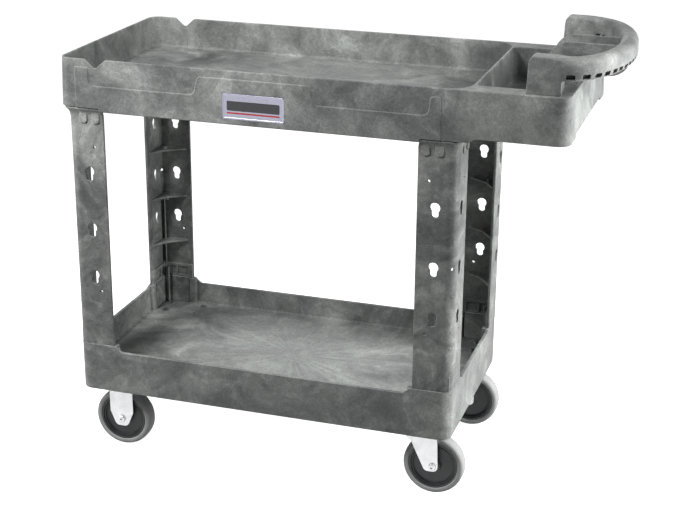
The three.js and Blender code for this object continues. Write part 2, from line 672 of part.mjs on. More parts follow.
function plateBolt([x, y]) {
  const head = SHELF.floorTop + GAP;
  const nut = plateBottom - GAP;
  return union([
    rod('z', x, y, PLATE_BOLT.headRadius, head, head + PLATE_BOLT.headHeight, 8),
    rod('z', x, y, PLATE_BOLT.radius, PLATE_BOLT.end, head + 1, 6),
    rod('z', x, y, PLATE_BOLT.nutRadius, nut - PLATE_BOLT.nutHeight, nut, 6),
  ]);
}

// ---------------------------------------------------------------- assembly
const cart = new THREE.Group();
cart.add(
  meshOf('upper_deck', upperDeck(), FOAM),
  meshOf('badge_plate', badgePlate(), PLATE),
  meshOf('push_handle', pushHandle(), FOAM),
  meshOf('lower_shelf', lowerShelf(), FOAM),
);
CORNERS.forEach((corner) => cart.add(meshOf(`leg_${corner.name}`, leg(corner), FOAM)));

uprightCentres().forEach((y, i) => HANDLE_SCREW.xs.forEach((x, j) => {
  const name = `handle_screw_${['front', 'rear'][i]}_${j + 1}`;
  cart.add(meshOf(name, handleScrew(x, y), ZINC));
}));

CASTERS.forEach((caster) => {
  const { name } = caster;
  const group = new THREE.Group();
  if (caster.type === 'rigid') {
    group.add(meshOf(`${name}_fork`, rigidFork(caster), ZINC));
  } else {
    group.add(
      meshOf(`${name}_plate`, mountingPlate(caster), ZINC),
      meshOf(`${name}_race`, swivelRace(caster), ZINC),
      meshOf(`${name}_kingpin`, kingpin(caster), ZINC),
      meshOf(`${name}_fork`, swivelFork(caster), ZINC),
    );
  }
  group.add(
    meshOf(`${name}_axle_bolt`, axleBolt(caster), ZINC),
    meshOf(`${name}_axle_nut`, axleNut(caster), ZINC),
    meshOf(`${name}_axle_sleeve`, axleSleeve(caster), ZINC),
  );
  const wheel = new THREE.Group();
  wheel.position.set(caster.wheelX, caster.y, CASTER.wheelRadius);
  wheel.add(meshOf(`${name}_hub`, wheelHub(), HUB_PLASTIC), meshOf(`${name}_tyre`, tyre(), RUBBER));
  group.add(wheel);
  boltPlaces(caster).forEach((place, i) => {
    group.add(meshOf(`${name}_plate_bolt_${i + 1}`, plateBolt(place), ZINC));
  });
  cart.add(group);
});

cart.position.set(-MIDDLE_X, -(DECK.width - BADGE.proud) / 2, 0);

export default cart;
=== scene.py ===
"""Looks of a two-shelf rolling utility cart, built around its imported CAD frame.

Everything is modelled in millimetres in "deck coordinates": X from the left edge of the upper deck's rim
towards the push handle, Y from the front face of the deck to the back, Z from the floor. piece() turns
those into the frame's metres.
"""

import math

import bmesh
import bpy
from mathutils import Euler, Matrix, Vector


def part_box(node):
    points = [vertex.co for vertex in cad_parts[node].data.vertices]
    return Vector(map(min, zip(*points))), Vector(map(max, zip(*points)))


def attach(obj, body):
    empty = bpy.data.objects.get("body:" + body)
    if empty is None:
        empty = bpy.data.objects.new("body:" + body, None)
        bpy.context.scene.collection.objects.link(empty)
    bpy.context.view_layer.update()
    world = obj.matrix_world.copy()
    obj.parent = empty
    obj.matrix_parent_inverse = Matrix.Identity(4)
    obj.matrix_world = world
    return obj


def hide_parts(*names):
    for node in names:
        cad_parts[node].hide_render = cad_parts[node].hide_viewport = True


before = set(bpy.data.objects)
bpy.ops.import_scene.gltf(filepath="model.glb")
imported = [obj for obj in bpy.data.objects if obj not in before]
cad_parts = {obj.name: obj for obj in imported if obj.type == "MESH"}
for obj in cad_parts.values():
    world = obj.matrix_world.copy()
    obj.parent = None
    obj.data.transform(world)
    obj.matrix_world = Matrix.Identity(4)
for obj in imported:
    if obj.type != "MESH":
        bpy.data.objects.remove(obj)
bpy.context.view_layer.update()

MM = 0.001
DRAFT = 4.0  # how far each end wall of the deck leans out at its bottom
deck_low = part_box("upper_deck")[0]
ORIGIN = Vector((deck_low.x + DRAFT * MM, deck_low.y, 0.0))

# ------------------------------------------------------------------ main dimensions, millimetres
THROUGH = 5.0  # how far a cutter sticks out of what it cuts
GAP = 0.3  # between pieces that rest on each other

DECK_LENGTH = 1015.0
DECK_WIDTH = 450.0
DECK_TOP = 859.0
DECK_BOTTOM = 753.5
DECK_RADIUS = 26.0
WALL = 5.0
LONG_WALL = 5.7  # from the panel's face to the inside of the long walls
PANEL_PROUD = 1.5
TRAY_FLOOR = 793.0
TRAY_LEFT_RADIUS, TRAY_RIGHT_RADIUS = 21.0, 50.0
BIN_FLOOR = 790.0
DIVIDER = (827.5, 833.0)
BIN_RIGHT = 1007.0
LEDGE = 48.0
LEDGE_HOLLOW_BOTTOM, LEDGE_HOLLOW_END = 770.0, 990.0
LEG_SEAT_TOP, LEG_SEAT_REACH = 760.5, 75.0
HANDLE_SCREWS_X = (950, 980)
PANEL = [
    (36, 753.5, 0), (36, 843, 4), (65, 843, 6), (67, 806, 14), (288, 806, 12), (297, 843, 10),
    (525, 843, 10), (534, 806, 10), (755, 806, 13), (759, 843, 8), (781, 843, 6), (781, 753.5, 0),
]
NOTCH = [
    (35, 880, 0), (35, 859.6, 0), (57, 859.2, 11), (77, 842, 1.8), (84, 842, 1.8), (103, 859.2, 11),
    (125, 859.6, 0), (125, 880, 0),
]
OVERHANG = [(810, 740, 0), (826, 756.5, 14), (845, 768.5, 14), (1030, 768.5, 0), (1030, 740, 0)]
END_RISE = [
    (62, 760, 0), (78, 776, 8), (DECK_WIDTH - 78, 776, 8), (DECK_WIDTH - 62, 760, 0),
]
BADGE = (349.0, 474.5, 765.0, 815.0)

SHELF_LEFT, SHELF_RIGHT = 7.5, 815.0
SHELF_FRONT, SHELF_BACK = 8.5, 441.5
SHELF_BOTTOM, SHELF_TOP = 142.0, 247.0
SHELF_FLOOR = 186.0
SHELF_RADIUS = 26.0
RIM = 6.0
LONG_RAIL, END_RAIL = 234.0, 241.0
RAIL_START, RAIL_END = 80.0, 98.0
POST_RECTANGLES = (72.5, 89.5, 2, 15), (2, 15, 72.5, 89.5)
PAD_LENGTH, PAD_WIDTH = 96.0, 68.0
RIB_HALF = 1.5
CROSS_RIBS_X = (200, 320, 440, 560, 650)
LONG_RIBS_Y = (130, 225, 320)

LEG_INSET = 10.0
LEG_RIGHT = 814.5
FLANGE = 79.0
LEG_WALL = 6.0
LEG_RADIUS = 20.0
LEG_BOTTOM, LEG_TOP = 247.3, 787.7
LIP = 8.0  # how far a leg's lip stands out under the skirt
KEYHOLE_RADIUS, KEYHOLE_HALF_SLOT, KEYHOLE_DROP = 10.0, 7.0, 20.0
KEYHOLE_HEIGHTS, KEYHOLE_PLACES = (626, 506, 403), (("y", 43), ("x", 35))
PEG_HOLE_HEIGHTS, PEG_HOLE_PLACES = (677.5, 367), (("y", 56.5), ("x", 50))
PEG_RADIUS = 3.0
CORNER_PEG_HEIGHT = 505.0
SNAP_BOSS_STARTS = (28.5, 55.5)
SNAP_BOSS_WIDTH, SNAP_BOSS_BOTTOM, SNAP_BOSS_TOP = 16.0, 727.0, 752.0
BAND_TOP = 280.0
WINDOWS = (22, 37), (41, 67)
WEB_HEIGHTS = (558, 446, 337)
WEB_REACH, WEB_THICKNESS, WEB_CURVE = 62.0, 4.0, 44.0
KNOB_RADIUS, KNOB_BOTTOMS, KNOB_HEIGHT = 4.5, (561, 440), 7.0
TONGUE_BOTTOM = 187.0

WHEEL_RADIUS = 63.5
CASTER_INSET = 62.0
PLATE_TOP = 158.8
PLATE_BOTTOM = 155.3
RIGID_X = 84.0
SWIVEL_X = 738.0
TRAIL = 36.5
FORK_INNER = 19.0
FORK_OUTER = 21.5
FORK_STEEL = FORK_OUTER - FORK_INNER
FORK_TOP = 143.0  # of a swivel fork's crown
KINGPIN_RADIUS, KINGPIN_HOLE, KINGPIN_NUT = 6.0, 6.6, 16.0
PLATE_LENGTH, PLATE_WIDTH = 92.0, 64.0
PLATE_SLOT_LENGTH, PLATE_SLOT_WIDTH = 12.0, 8.8
BOLT_SPACING = (38.1, 22.25)  # from a plate's middle to its bolts
BOLT_RADIUS, BOLT_HEAD, BOLT_WASHER, BOLT_NUT = 3.8, 5.6, 7.2, 12.2
AXLE_RADIUS, AXLE_HOLE, AXLE_HEAD, AXLE_NUT = 4.7, 5.3, 7.9, 14.6
NUT_HEIGHT = 6.0


# ------------------------------------------------------------------ shapes: (vertices, faces) pairs
def signed_area(corners):
    pairs = zip(corners, corners[1:] + corners[:1])
    return sum(a[0] * b[1] - b[0] * a[1] for a, b in pairs) / 2


def inset(corners, distance):
    """Moves every side of an outline of (u, v, radius) corners inwards, and its radii with it."""
    sign = 1 if signed_area(corners) > 0 else -1
    moved_corners = []
    for i, (u, v, radius) in enumerate(corners):
        here = Vector((u, v))
        arriving = (here - Vector(corners[i - 1][:2])).normalized()
        leaving = (Vector(corners[(i + 1) % len(corners)][:2]) - here).normalized()
        convex = (arriving.x * leaving.y - arriving.y * leaving.x) * sign > 0
        normal_a = Vector((-arriving.y, arriving.x)) * sign
        normal_b = Vector((-leaving.y, leaving.x)) * sign
        mitre = normal_a + normal_b
        spot = here + mitre * (distance / mitre.dot(normal_a))
        if radius:
            radius = max(0.05, radius - distance if convex else radius + distance)
        moved_corners.append((spot.x, spot.y, radius))
    return moved_corners


def rounded(corners, steps=6):
    """Points of an outline whose corners (u, v, radius) are rounded, each with the same number of steps."""
    points = []
    for i, (u, v, radius) in enumerate(corners):
        here = Vector((u, v))
        if not radius:
            points.append(here)
            continue
        back = (Vector(corners[i - 1][:2]) - here).normalized()
        on = (Vector(corners[(i + 1) % len(corners)][:2]) - here).normalized()
        half = back.angle(on) / 2
        centre = here + (back + on).normalized() * (radius / math.sin(half))
        start = here + back * (radius / math.tan(half)) - centre
        sweep = math.pi - 2 * half
        if back.x * on.y - back.y * on.x > 0:
            sweep = -sweep
        for step in range(steps + 1):
            points.append(centre + Matrix.Rotation(sweep * step / steps, 2) @ start)
    return points


def rectangle(u0, u1, v0, v1, radius=0.0):
    return [(u0, v0, radius), (u1, v0, radius), (u1, v1, radius), (u0, v1, radius)]


def lift(axis, points, w):
    """2-D outline points at a height w along an axis: (y, z) for x, (x, z) for y, (x, y) for z."""
    if axis == "x":
        return [Vector((w, p.x, p.y)) for p in points]
    if axis == "y":
        return [Vector((p.x, w, p.y)) for p in points]
    return [Vector((p.x, p.y, w)) for p in points]


def loft(rings):
    """A closed solid through rings that have equally many points."""
    count = len(rings[0])
    verts = [p for ring in rings for p in ring]
    faces = []
    for row in range(len(rings) - 1):
        for i in range(count):
            j = (i + 1) % count
            a, b = row * count, (row + 1) * count
            faces.append((a + i, a + j, b + j, b + i))
    faces.append(tuple(reversed(range(count))))
    faces.append(tuple(range((len(rings) - 1) * count, len(rings) * count)))
    return verts, faces


def stack(axis, corners, levels, steps=6):
    """A solid whose outline is inset differently at each level: levels are (w, inset)."""
    return loft([lift(axis, rounded(inset(corners, d), steps), w) for w, d in levels])


def slab(axis, corners, low, high, edge=0.0, steps=6):
    """An outline extruded along an axis, its two ends rounded by edge."""
    if not edge:
        return stack(axis, corners, [(low, 0), (high, 0)], steps)
    turns = [math.radians(a) for a in (0, 30, 60, 90)]
    start = [(low + edge * (1 - math.sin(a)), edge * (1 - math.cos(a))) for a in reversed(turns)]
    end = [(high - edge * (1 - math.sin(a)), edge * (1 - math.cos(a))) for a in turns]
    return stack(axis, corners, start + end, steps)


def block(x0, x1, y0, y1, z0, z1):
    return slab("z", rectangle(x0, x1, y0, y1), z0, z1)


def circle(u, v, radius, sides):
    turns = [2 * math.pi * i / sides for i in range(sides)]
    return [Vector((u + radius * math.cos(a), v + radius * math.sin(a))) for a in turns]


def turned(axis, u, v, levels, sides):
    """A solid of round sections about a straight axis: levels are (w, radius)."""
    return loft([lift(axis, circle(u, v, radius, sides), w) for w, radius in levels])


def disc(axis, u, v, radius, low, high, edge=0.0, sides=32):
    """A cylinder, its two ends rounded by edge."""
    if not edge:
        return turned(axis, u, v, [(low, radius), (high, radius)], sides)
    turns = [math.radians(a) for a in (0, 30, 60, 90)]
    bends = [(edge * (1 - math.sin(a)), radius - edge * (1 - math.cos(a))) for a in turns]
    start = [(low + rise, r) for rise, r in reversed(bends)]
    end = [(high - rise, r) for rise, r in bends]
    return turned(axis, u, v, start + end, sides)


def lathe(profile, centre, axis="y", segments=96):
    """A closed ring profile of (radius, along) turned about an axis through centre."""
    verts, faces = [], []
    count = len(profile)
    for s in range(segments):
        angle = 2 * math.pi * s / segments
        for radius, along in profile:
            u, v = radius * math.cos(angle), radius * math.sin(angle)
            offset = Vector((u, along, v)) if axis == "y" else Vector((u, v, along))
            verts.append(Vector(centre) + offset)
    for s in range(segments):
        a, b = s * count, ((s + 1) % segments) * count
        for i in range(count):
            j = (i + 1) % count
            faces.append((a + i, a + j, b + j, b + i))
    return verts, faces


def merged(*shapes):
    """Several shapes as one, without joining their surfaces."""
    verts, faces = [], []
    for shape_verts, shape_faces in shapes:
        start = len(verts)
        verts += shape_verts
        faces += [tuple(start + i for i in face) for face in shape_faces]
    return verts, faces


def moved(shape, matrix):
    verts, faces = shape
    return [matrix @ v for v in verts], faces


def flipped_y(shape):
    """The mirror image across the cart's long middle plane."""
    verts, faces = shape
    return [Vector((v.x, DECK_WIDTH - v.y, v.z)) for v in verts], [tuple(reversed(f)) for f in faces]


def mesh_of(name, shape):
    mesh = bpy.data.meshes.new(name)
    verts, faces = shape
    mesh.from_pydata([tuple(v) for v in verts], [], faces)
    bm = bmesh.new()
    bm.from_mesh(mesh)
    bmesh.ops.recalc_face_normals(bm, faces=bm.faces)
    bm.to_mesh(mesh)
    bm.free()
    return mesh


def boolean(shape, tool, operation="DIFFERENCE"):
    """One exact boolean between two shapes."""
    base = bpy.data.objects.new("base", mesh_of("base", shape))
    other = bpy.data.objects.new("tool", mesh_of("tool", tool))
    for obj in (base, other):
        bpy.context.scene.collection.objects.link(obj)
    modifier = base.modifiers.new("boolean", "BOOLEAN")
    modifier.operation = operation
    modifier.solver = "EXACT"
    modifier.object = other
    evaluated = base.evaluated_get(bpy.context.evaluated_depsgraph_get())
    mesh = bpy.data.meshes.new_from_object(evaluated)
    result = [v.co.copy() for v in mesh.vertices], [tuple(p.vertices) for p in mesh.polygons]
    for obj in (base, other):
        data = obj.data
        bpy.data.objects.remove(obj)
        bpy.data.meshes.remove(data)
    bpy.data.meshes.remove(mesh)
    return result


def cut(shape, *tools):
    for tool in tools:
        shape = boolean(shape, tool)
    return shape


def piece(name, shape, material, body, replaces=(), sharp=32.0):
    """Puts a shape in the scene as a finished piece that rides on a body."""
    verts, faces = shape
    placed = [v * MM + ORIGIN for v in verts]
    mesh = mesh_of(name, (placed, faces))
    mesh.polygons.foreach_set("use_smooth", [True] * len(mesh.polygons))
    mesh.set_sharp_from_angle(angle=math.radians(sharp))
    mesh.materials.append(material)
    obj = bpy.data.objects.new(name, mesh)
    bpy.context.scene.collection.objects.link(obj)
    weighted = obj.modifiers.new("flat faces stay flat", "WEIGHTED_NORMAL")
    weighted.keep_sharp = True
    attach(obj, body)
    if replaces:
        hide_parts(*replaces)
    return obj


# ------------------------------------------------------------------ materials
class Nodes:
    """A short way to write a material's node tree."""

    def __init__(self, name):
        self.material = bpy.data.materials.new(name)
        self.material.use_nodes = True
        self.tree = self.material.node_tree
        self.shader = self.tree.nodes["Principled BSDF"]
        self.coordinates = self.add("ShaderNodeTexCoord").outputs["Object"]

    def add(self, kind, inputs=None, **settings):
        node = self.tree.nodes.new(kind)
        for key, value in settings.items():
            setattr(node, key, value)
        for key, value in (inputs or {}).items():
            self.feed(node.inputs[key], value)
        return node

    def feed(self, socket, value):
        if isinstance(value, bpy.types.NodeSocket):
            self.tree.links.new(value, socket)
        else:
            socket.default_value = value

    def noise(self, scale, detail=3.0, roughness=0.5, distortion=0.0, vector=None):
        inputs = {"Scale": scale, "Detail": detail, "Roughness": roughness, "Distortion": distortion,
                  "Vector": vector or self.coordinates}
        return self.add("ShaderNodeTexNoise", inputs).outputs["Fac"]

    def math(self, operation, a, b=0.0):
        node = self.add("ShaderNodeMath", operation=operation)
        self.feed(node.inputs[0], a)
        self.feed(node.inputs[1], b)
        return node.outputs[0]

    def ramp(self, value, stops):
        """Maps a 0 to 1 value through (position, colour) stops."""
        node = self.add("ShaderNodeValToRGB", {"Fac": value})
        elements = node.color_ramp.elements
        while len(elements) < len(stops):
            elements.new(0.5)
        for element, (position, colour) in zip(elements, stops):
            element.position = position
            element.color = (*colour, 1.0) if isinstance(colour, tuple) else (colour, colour, colour, 1.0)
        return node.outputs["Color"]

    def mix(self, factor, a, b, blend="MIX"):
        node = self.add("ShaderNodeMix", data_type="RGBA", blend_type=blend)
        self.feed(node.inputs["Factor"], factor)
        self.feed(node.inputs[6], a)
        self.feed(node.inputs[7], b)
        return node.outputs[2]

    def bump(self, height, strength, distance, normal=None):
        inputs = {"Height": height, "Strength": strength, "Distance": distance}
        if normal:
            inputs["Normal"] = normal
        return self.add("ShaderNodeBump", inputs).outputs["Normal"]

    def vector(self, operation, a, b=None, c=None):
        node = self.add("ShaderNodeVectorMath", operation=operation)
        for socket, value in zip(node.inputs, (a, b, c)):
            if value is not None:
                self.feed(socket, value)
        return node.outputs["Value" if operation in ("LENGTH", "DOT_PRODUCT") else "Vector"]

    def true_normal(self):
        return self.add("ShaderNodeNewGeometry").outputs["Normal"]

    def soft_edges(self, radius):
        """The normal with every edge rounded by radius, in metres."""
        return self.add("ShaderNodeBevel", {"Radius": radius}, samples=6).outputs["Normal"]

    def finish(self, **values):
        for key, value in values.items():
            self.feed(self.shader.inputs[key.replace("_", " ")], value)
        return self.material


def grey(value, warm=0.0):
    """The cart's grey, which is very slightly green, or a little warmer."""
    return (value * (0.991 + warm), value * 1.006, value * (0.996 - warm))


def flow_front(n, gate):
    """A mask and a streaky tone that spread over an upward face from the point where the resin came in."""
    flat = n.vector("MULTIPLY", n.vector("SUBTRACT", n.coordinates, gate), (1.0, 1.25, 0.0))
    radius = n.vector("LENGTH", flat)
    polar = n.vector("MULTIPLY_ADD", n.vector("NORMALIZE", flat), (4.0, 4.0, 4.0), flat)
    streaks = n.noise(2.6, 6.0, 0.62, 0.25, polar)
    ragged = n.math("ADD", radius, n.math("MULTIPLY", n.noise(11.0, 5.0, 0.6, 0.8), 0.22))
    reach = n.ramp(ragged, [(0.22, 1.0), (0.40, 0.0)])
    upward = n.add("ShaderNodeSeparateXYZ", {"Vector": n.true_normal()}).outputs["Z"]
    mask = n.mix(n.ramp(upward, [(0.7, 0.0), (0.95, 1.0)]), grey(0.0) + (1.0,), reach)
    return mask, n.ramp(streaks, [(0.34, grey(0.86)), (0.5, grey(1.06)), (0.66, grey(1.30))])


def foam_material(name, swirl_scale, base=0.21, contrast=1.0, gate=None):
    """Structural foam: grey resin marbled by how it flowed into the mould, with a painted highlight that
    makes it paler along its edges.
    """
    n = Nodes(name)
    warp = n.add("ShaderNodeTexNoise", {"Scale": swirl_scale * 0.8, "Detail": 3.0, "Vector": n.coordinates})
    field = n.vector("MULTIPLY_ADD", warp.outputs["Color"], (0.16, 0.16, 0.16), n.coordinates)
    clouds = n.noise(swirl_scale, 6.0, 0.58, 0.6, field)
    wisps = n.noise(swirl_scale * 2.4, 7.0, 0.60, 0.9, field)
    dark, mid, light = base * (1 - 0.34 * contrast), base, base * (1 + 0.44 * contrast)
    tone = n.ramp(clouds, [(0.38, grey(dark, -0.01)), (0.49, grey(mid)), (0.62, grey(light, 0.01))])
    wisp_stops = [
        (0.36, grey(0.66)), (0.44, grey(0.86)), (0.50, grey(0.96)), (0.525, grey(1.12)), (0.58, grey(1.06)),
        (0.64, grey(1.50)),
    ]
    tone = n.mix(0.9 * contrast, tone, n.ramp(wisps, wisp_stops), "MULTIPLY")
    if gate:
        mask, streaks = flow_front(n, gate)
        paler = n.mix(1.0, streaks, grey(mid * 1.45) + (1.0,), "MULTIPLY")
        tone = n.mix(mask, tone, n.mix(0.6, tone, paler))
    mottle = n.noise(90.0, 6.0, 0.66, 1.4)
    mottle_tone = n.ramp(mottle, [(0.36, grey(0.76)), (0.50, grey(1.0)), (0.62, grey(1.26))])
    tone = n.mix(0.6 * contrast, tone, mottle_tone, "MULTIPLY")
    speckle = n.ramp(n.noise(420.0, 4.0, 0.70), [(0.34, grey(0.72)), (0.52, grey(1.0)), (0.70, grey(1.30))])
    tone = n.mix(0.7, tone, speckle, "MULTIPLY")
    edges = n.soft_edges(0.0016)
    # painted highlight: every edge is lightened towards pale grey, standing in for light caught on rounded
    # edges
    edge_highlight = n.ramp(n.vector("DOT_PRODUCT", edges, n.true_normal()), [(0.80, 1.0), (0.985, 0.0)])
    tone = n.mix(edge_highlight, tone, n.mix(0.5, tone, (0.66, 0.66, 0.65, 1.0)))
    broad = n.bump(n.noise(26.0, 3.0, 0.5, 0.6), 0.30, 0.0012, edges)
    grain = n.bump(n.noise(1300.0, 3.0, 0.6), 0.20, 0.0004, broad)
    rough = n.ramp(clouds, [(0.3, 0.46), (0.7, 0.60)])
    return n.finish(Base_Color=tone, Roughness=rough, Normal=grain, Specular_IOR_Level=0.16)


FOAM = foam_material("marbled foam plastic", 5.0, gate=(-0.10, 0.02, 0.0))
FOAM_SHELF = foam_material("marbled foam plastic, lower shelf", 5.5, 0.235, gate=(-0.139, -0.004, 0.0))
FOAM_LEG = foam_material("marbled foam plastic, legs", 8.0, 0.185)
FOAM_HANDLE = foam_material("marbled foam plastic, handle", 9.0, 0.215, 0.7)


def zinc_material():
    n = Nodes("bright zinc plate")
    brushed = n.add("ShaderNodeMapping", {"Vector": n.coordinates, "Scale": (1.0, 1.0, 0.08)}).outputs[0]
    streak = n.noise(900.0, 3.0, 0.6, 0.0, brushed)
    cloud = n.noise(60.0, 3.0, 0.6)
    colour = n.ramp(cloud, [(0.35, (0.56, 0.57, 0.58)), (0.65, (0.66, 0.66, 0.67))])
    rough = n.math("ADD", n.math("MULTIPLY", streak, 0.12), n.math("MULTIPLY", cloud, 0.16))
    rough = n.math("ADD", rough, 0.20)
    normal = n.bump(streak, 0.10, 0.0001, n.soft_edges(0.0008))
    return n.finish(Base_Color=colour, Roughness=rough, Normal=normal, Metallic=0.6)


def bolt_material():
    n = Nodes("dulled zinc plate")
    cloud = n.noise(220.0, 4.0, 0.6, 0.4)
    colour = n.ramp(cloud, [(0.35, (0.10, 0.105, 0.105)), (0.65, (0.20, 0.205, 0.20))])
    rough = n.ramp(cloud, [(0.3, 0.28), (0.7, 0.42)])
    return n.finish(Base_Color=colour, Roughness=rough, Normal=n.soft_edges(0.0006), Metallic=0.7)


def hub_material():
    n = Nodes("charcoal hub plastic")
    cloud = n.noise(45.0, 4.0, 0.6, 0.5)
    colour = n.ramp(cloud, [(0.3, (0.011, 0.012, 0.013)), (0.7, (0.022, 0.023, 0.025))])
    rough = n.ramp(cloud, [(0.3, 0.38), (0.7, 0.52)])
    normal = n.bump(n.noise(1500.0, 2.0), 0.15, 0.0003, n.soft_edges(0.0006))
    return n.finish(Base_Color=colour, Roughness=rough, Normal=normal, Specular_IOR_Level=0.35)


def tyre_material():
    n = Nodes("grey non-marking rubber")
    cloud = n.noise(40.0, 4.0, 0.6, 0.4)
    dust = n.noise(260.0, 3.0, 0.65)
    colour = n.ramp(cloud, [(0.3, (0.37, 0.376, 0.373)), (0.7, (0.45, 0.457, 0.453))])
    colour = n.mix(0.15, colour, n.ramp(dust, [(0.4, grey(0.32)), (0.7, grey(0.60))]))
    normal = n.bump(n.noise(1100.0, 3.0), 0.25, 0.0004, n.soft_edges(0.0008))
    return n.finish(Base_Color=colour, Roughness=0.68, Normal=normal)


def badge_material():
    n = Nodes("satin badge metal")
    brushed = n.add("ShaderNodeMapping", {"Vector": n.coordinates, "Scale": (0.06, 1.0, 1.0)}).outputs[0]
    streak = n.noise(2600.0, 2.0, 0.6, 0.0, brushed)
    colour = n.ramp(streak, [(0.35, (0.33, 0.33, 0.41)), (0.65, (0.44, 0.44, 0.53))])
    rough = n.ramp(streak, [(0.3, 0.30), (0.7, 0.42)])
    normal = n.bump(streak, 0.08, 0.0001, n.soft_edges(0.0004))
    return n.finish(Base_Color=colour, Roughness=rough, Normal=normal, Metallic=0.65)


def enamel_material(name, colour):
    n = Nodes(name)
    cloud = n.noise(300.0, 3.0)
    tone = n.ramp(cloud, [(0.3, tuple(c * 0.9 for c in colour)), (0.7, tuple(c * 1.1 for c in colour))])
    rough = n.ramp(cloud, [(0.3, 0.30), (0.7, 0.40)])
    return n.finish(Base_Color=tone, Roughness=rough)


ZINC = zinc_material()
DULL_ZINC = bolt_material()
HUB = hub_material()
TYRE = tyre_material()
BADGE_METAL = badge_material()
CHARCOAL = enamel_material("charcoal enamel", (0.035, 0.035, 0.04))
RED = enamel_material("red enamel", (0.42, 0.02, 0.02))


# ------------------------------------------------------------------ upper deck
def wall_levels(top, floor, draft, fillet, over=1.0):
    """Levels of a cutter for a moulded pocket: a rounded lip, drafted walls and a filleted floor."""
    lip = [(top + over, -2.2), (top - 0.2, -1.3), (top - 1.0, -0.4), (top - 2.2, 0.0)]
    turns = [math.radians(a) for a in (0, 22, 45, 67, 90)]
    bottom = [(floor + fillet * (1 - math.sin(a)), draft + fillet * (1 - math.cos(a))) for a in turns]
    return lip + bottom


def pocket(left, right, left_radius, right_radius):
    """The plan of a space between the deck's two long walls."""
    back = DECK_WIDTH - LONG_WALL
    return [
        (left, LONG_WALL, left_radius), (right, LONG_WALL, right_radius), (right, back, right_radius),
        (left, back, left_radius),
    ]


def deck_shell():
    """The deck before anything is cut from it: leaning end walls and a raised panel on both long faces."""
    outer = rectangle(0, DECK_LENGTH, PANEL_PROUD, DECK_WIDTH - PANEL_PROUD, DECK_RADIUS)
    shell = stack("z", outer, [
        (DECK_BOTTOM, 1.2), (DECK_BOTTOM + 0.4, 0.4), (DECK_BOTTOM + 1.2, 0), (DECK_TOP - 2.2, 0),
        (DECK_TOP - 0.9, 0.35), (DECK_TOP - 0.2, 1.1), (DECK_TOP, 2.0),
    ], steps=10)
    for v in shell[0]:
        lean = DRAFT * (DECK_TOP - v.z) / (DECK_TOP - DECK_BOTTOM)
        v.x += lean if v.x > DECK_LENGTH / 2 else -lean
    panel = stack("y", PANEL, [(3.5, 0), (1.4, 0), (0.55, 0.7), (0.15, 1.3), (0, 2.1)])
    for side in (panel, flipped_y(panel)):
        shell = boolean(shell, side, "UNION")
    return shell


def deck_moulding():
    tray_right, bin_left = DIVIDER
    tray = pocket(WALL, tray_right, TRAY_LEFT_RADIUS, TRAY_RIGHT_RADIUS)
    bin_outline = rectangle(bin_left, BIN_RIGHT, LEDGE, DECK_WIDTH - LEDGE, 12)
    overhang = slab("y", OVERHANG, -THROUGH, DECK_WIDTH + THROUGH)
    end_rise = slab("x", END_RISE, BIN_RIGHT - 20, DECK_LENGTH + THROUGH)
    seat_plan = rectangle(-20, LEG_SEAT_REACH, -20, LEG_SEAT_REACH, 1.0)
    seats = [moved(slab("z", seat_plan, 740, LEG_SEAT_TOP, 0.8, 3), leg) for leg, _ in CORNERS.values()]
    low = DECK_BOTTOM - THROUGH
    under_tray = slab("z", pocket(WALL, tray_right, TRAY_LEFT_RADIUS, 4), low, TRAY_FLOOR - WALL)
    under_bin = slab("z", pocket(bin_left + WALL, BIN_RIGHT, 4, 20), low, BIN_FLOOR - WALL)
    hollows = []
    for front in (LONG_WALL, DECK_WIDTH - LEDGE + WALL):
        plan = rectangle(bin_left + WALL, LEDGE_HOLLOW_END, front, front + LEDGE - WALL - LONG_WALL)
        hollows.append(slab("z", plan, LEDGE_HOLLOW_BOTTOM, DECK_TOP - WALL))
    notch = slab("y", NOTCH, -THROUGH, DECK_WIDTH + THROUGH)
    x0, x1, z0, z1 = BADGE
    badge_seat = block(x0 - 0.5, x1 + 0.5, -THROUGH, 0.7, z0 - 0.5, z1 + 0.5)
    holes = merged(*[
        disc("z", x, y, 2.9, DECK_TOP - WALL - 2, DECK_TOP + 2, sides=16)
        for x in HANDLE_SCREWS_X for y in (UPRIGHT_Y, DECK_WIDTH - UPRIGHT_Y)
    ])
    return cut(
        deck_shell(), overhang, end_rise, stack("z", tray, wall_levels(DECK_TOP, TRAY_FLOOR, 1.4, 6), 10),
        stack("z", bin_outline, wall_levels(DECK_TOP, BIN_FLOOR, 1.6, 8), 8),
        merged(*seats), under_tray, under_bin, merged(*hollows), notch, badge_seat, holes,
    )


# ------------------------------------------------------------------ push handle
HANDLE_BOTTOM, HANDLE_TOP = DECK_TOP + GAP, 928.0
UPRIGHT_LEFT, UPRIGHT_RIGHT = 932.0, 995.0
UPRIGHT_Y = 31.0
UPRIGHT_CORNER = 10.0
GRIP_BOTTOM = 885.5
UPRIGHT_HALF = 19.0
GRIP_HALF = 17.0
LOOP_REACH = 89.0
LOOP_STEPS = 22
MIDDLE = DECK_WIDTH / 2
GRIP_SLOTS = 20
SLOT_BOTTOM, SLOT_TOP = 889.5, 898.5
SLOT_CUTS = (8.5, -24, -8), (6, 11, 19)  # half length and reach across the grip, outside and inside
FIN = [(938, 863, 10), (1096, 863, 40), (1096, 922.5, 6), (938, 922.5, 42)]
FIN_FRONTS = (185.5, 260.0)
FIN_THICKNESS = 4.5


def smoothstep(low, high, value):
    t = min(1.0, max(0.0, (value - low) / (high - low)))
    return t * t * (3 - 2 * t)


def loop_point(angle):
    """A point and direction of the grip's centre line, a half-ellipse from one upright to the other."""
    reach_y = MIDDLE - UPRIGHT_Y
    spot = Vector((UPRIGHT_RIGHT + LOOP_REACH * math.cos(angle), MIDDLE + reach_y * math.sin(angle)))
    along = Vector((-LOOP_REACH * math.sin(angle), reach_y * math.cos(angle))).normalized()
    return spot, along


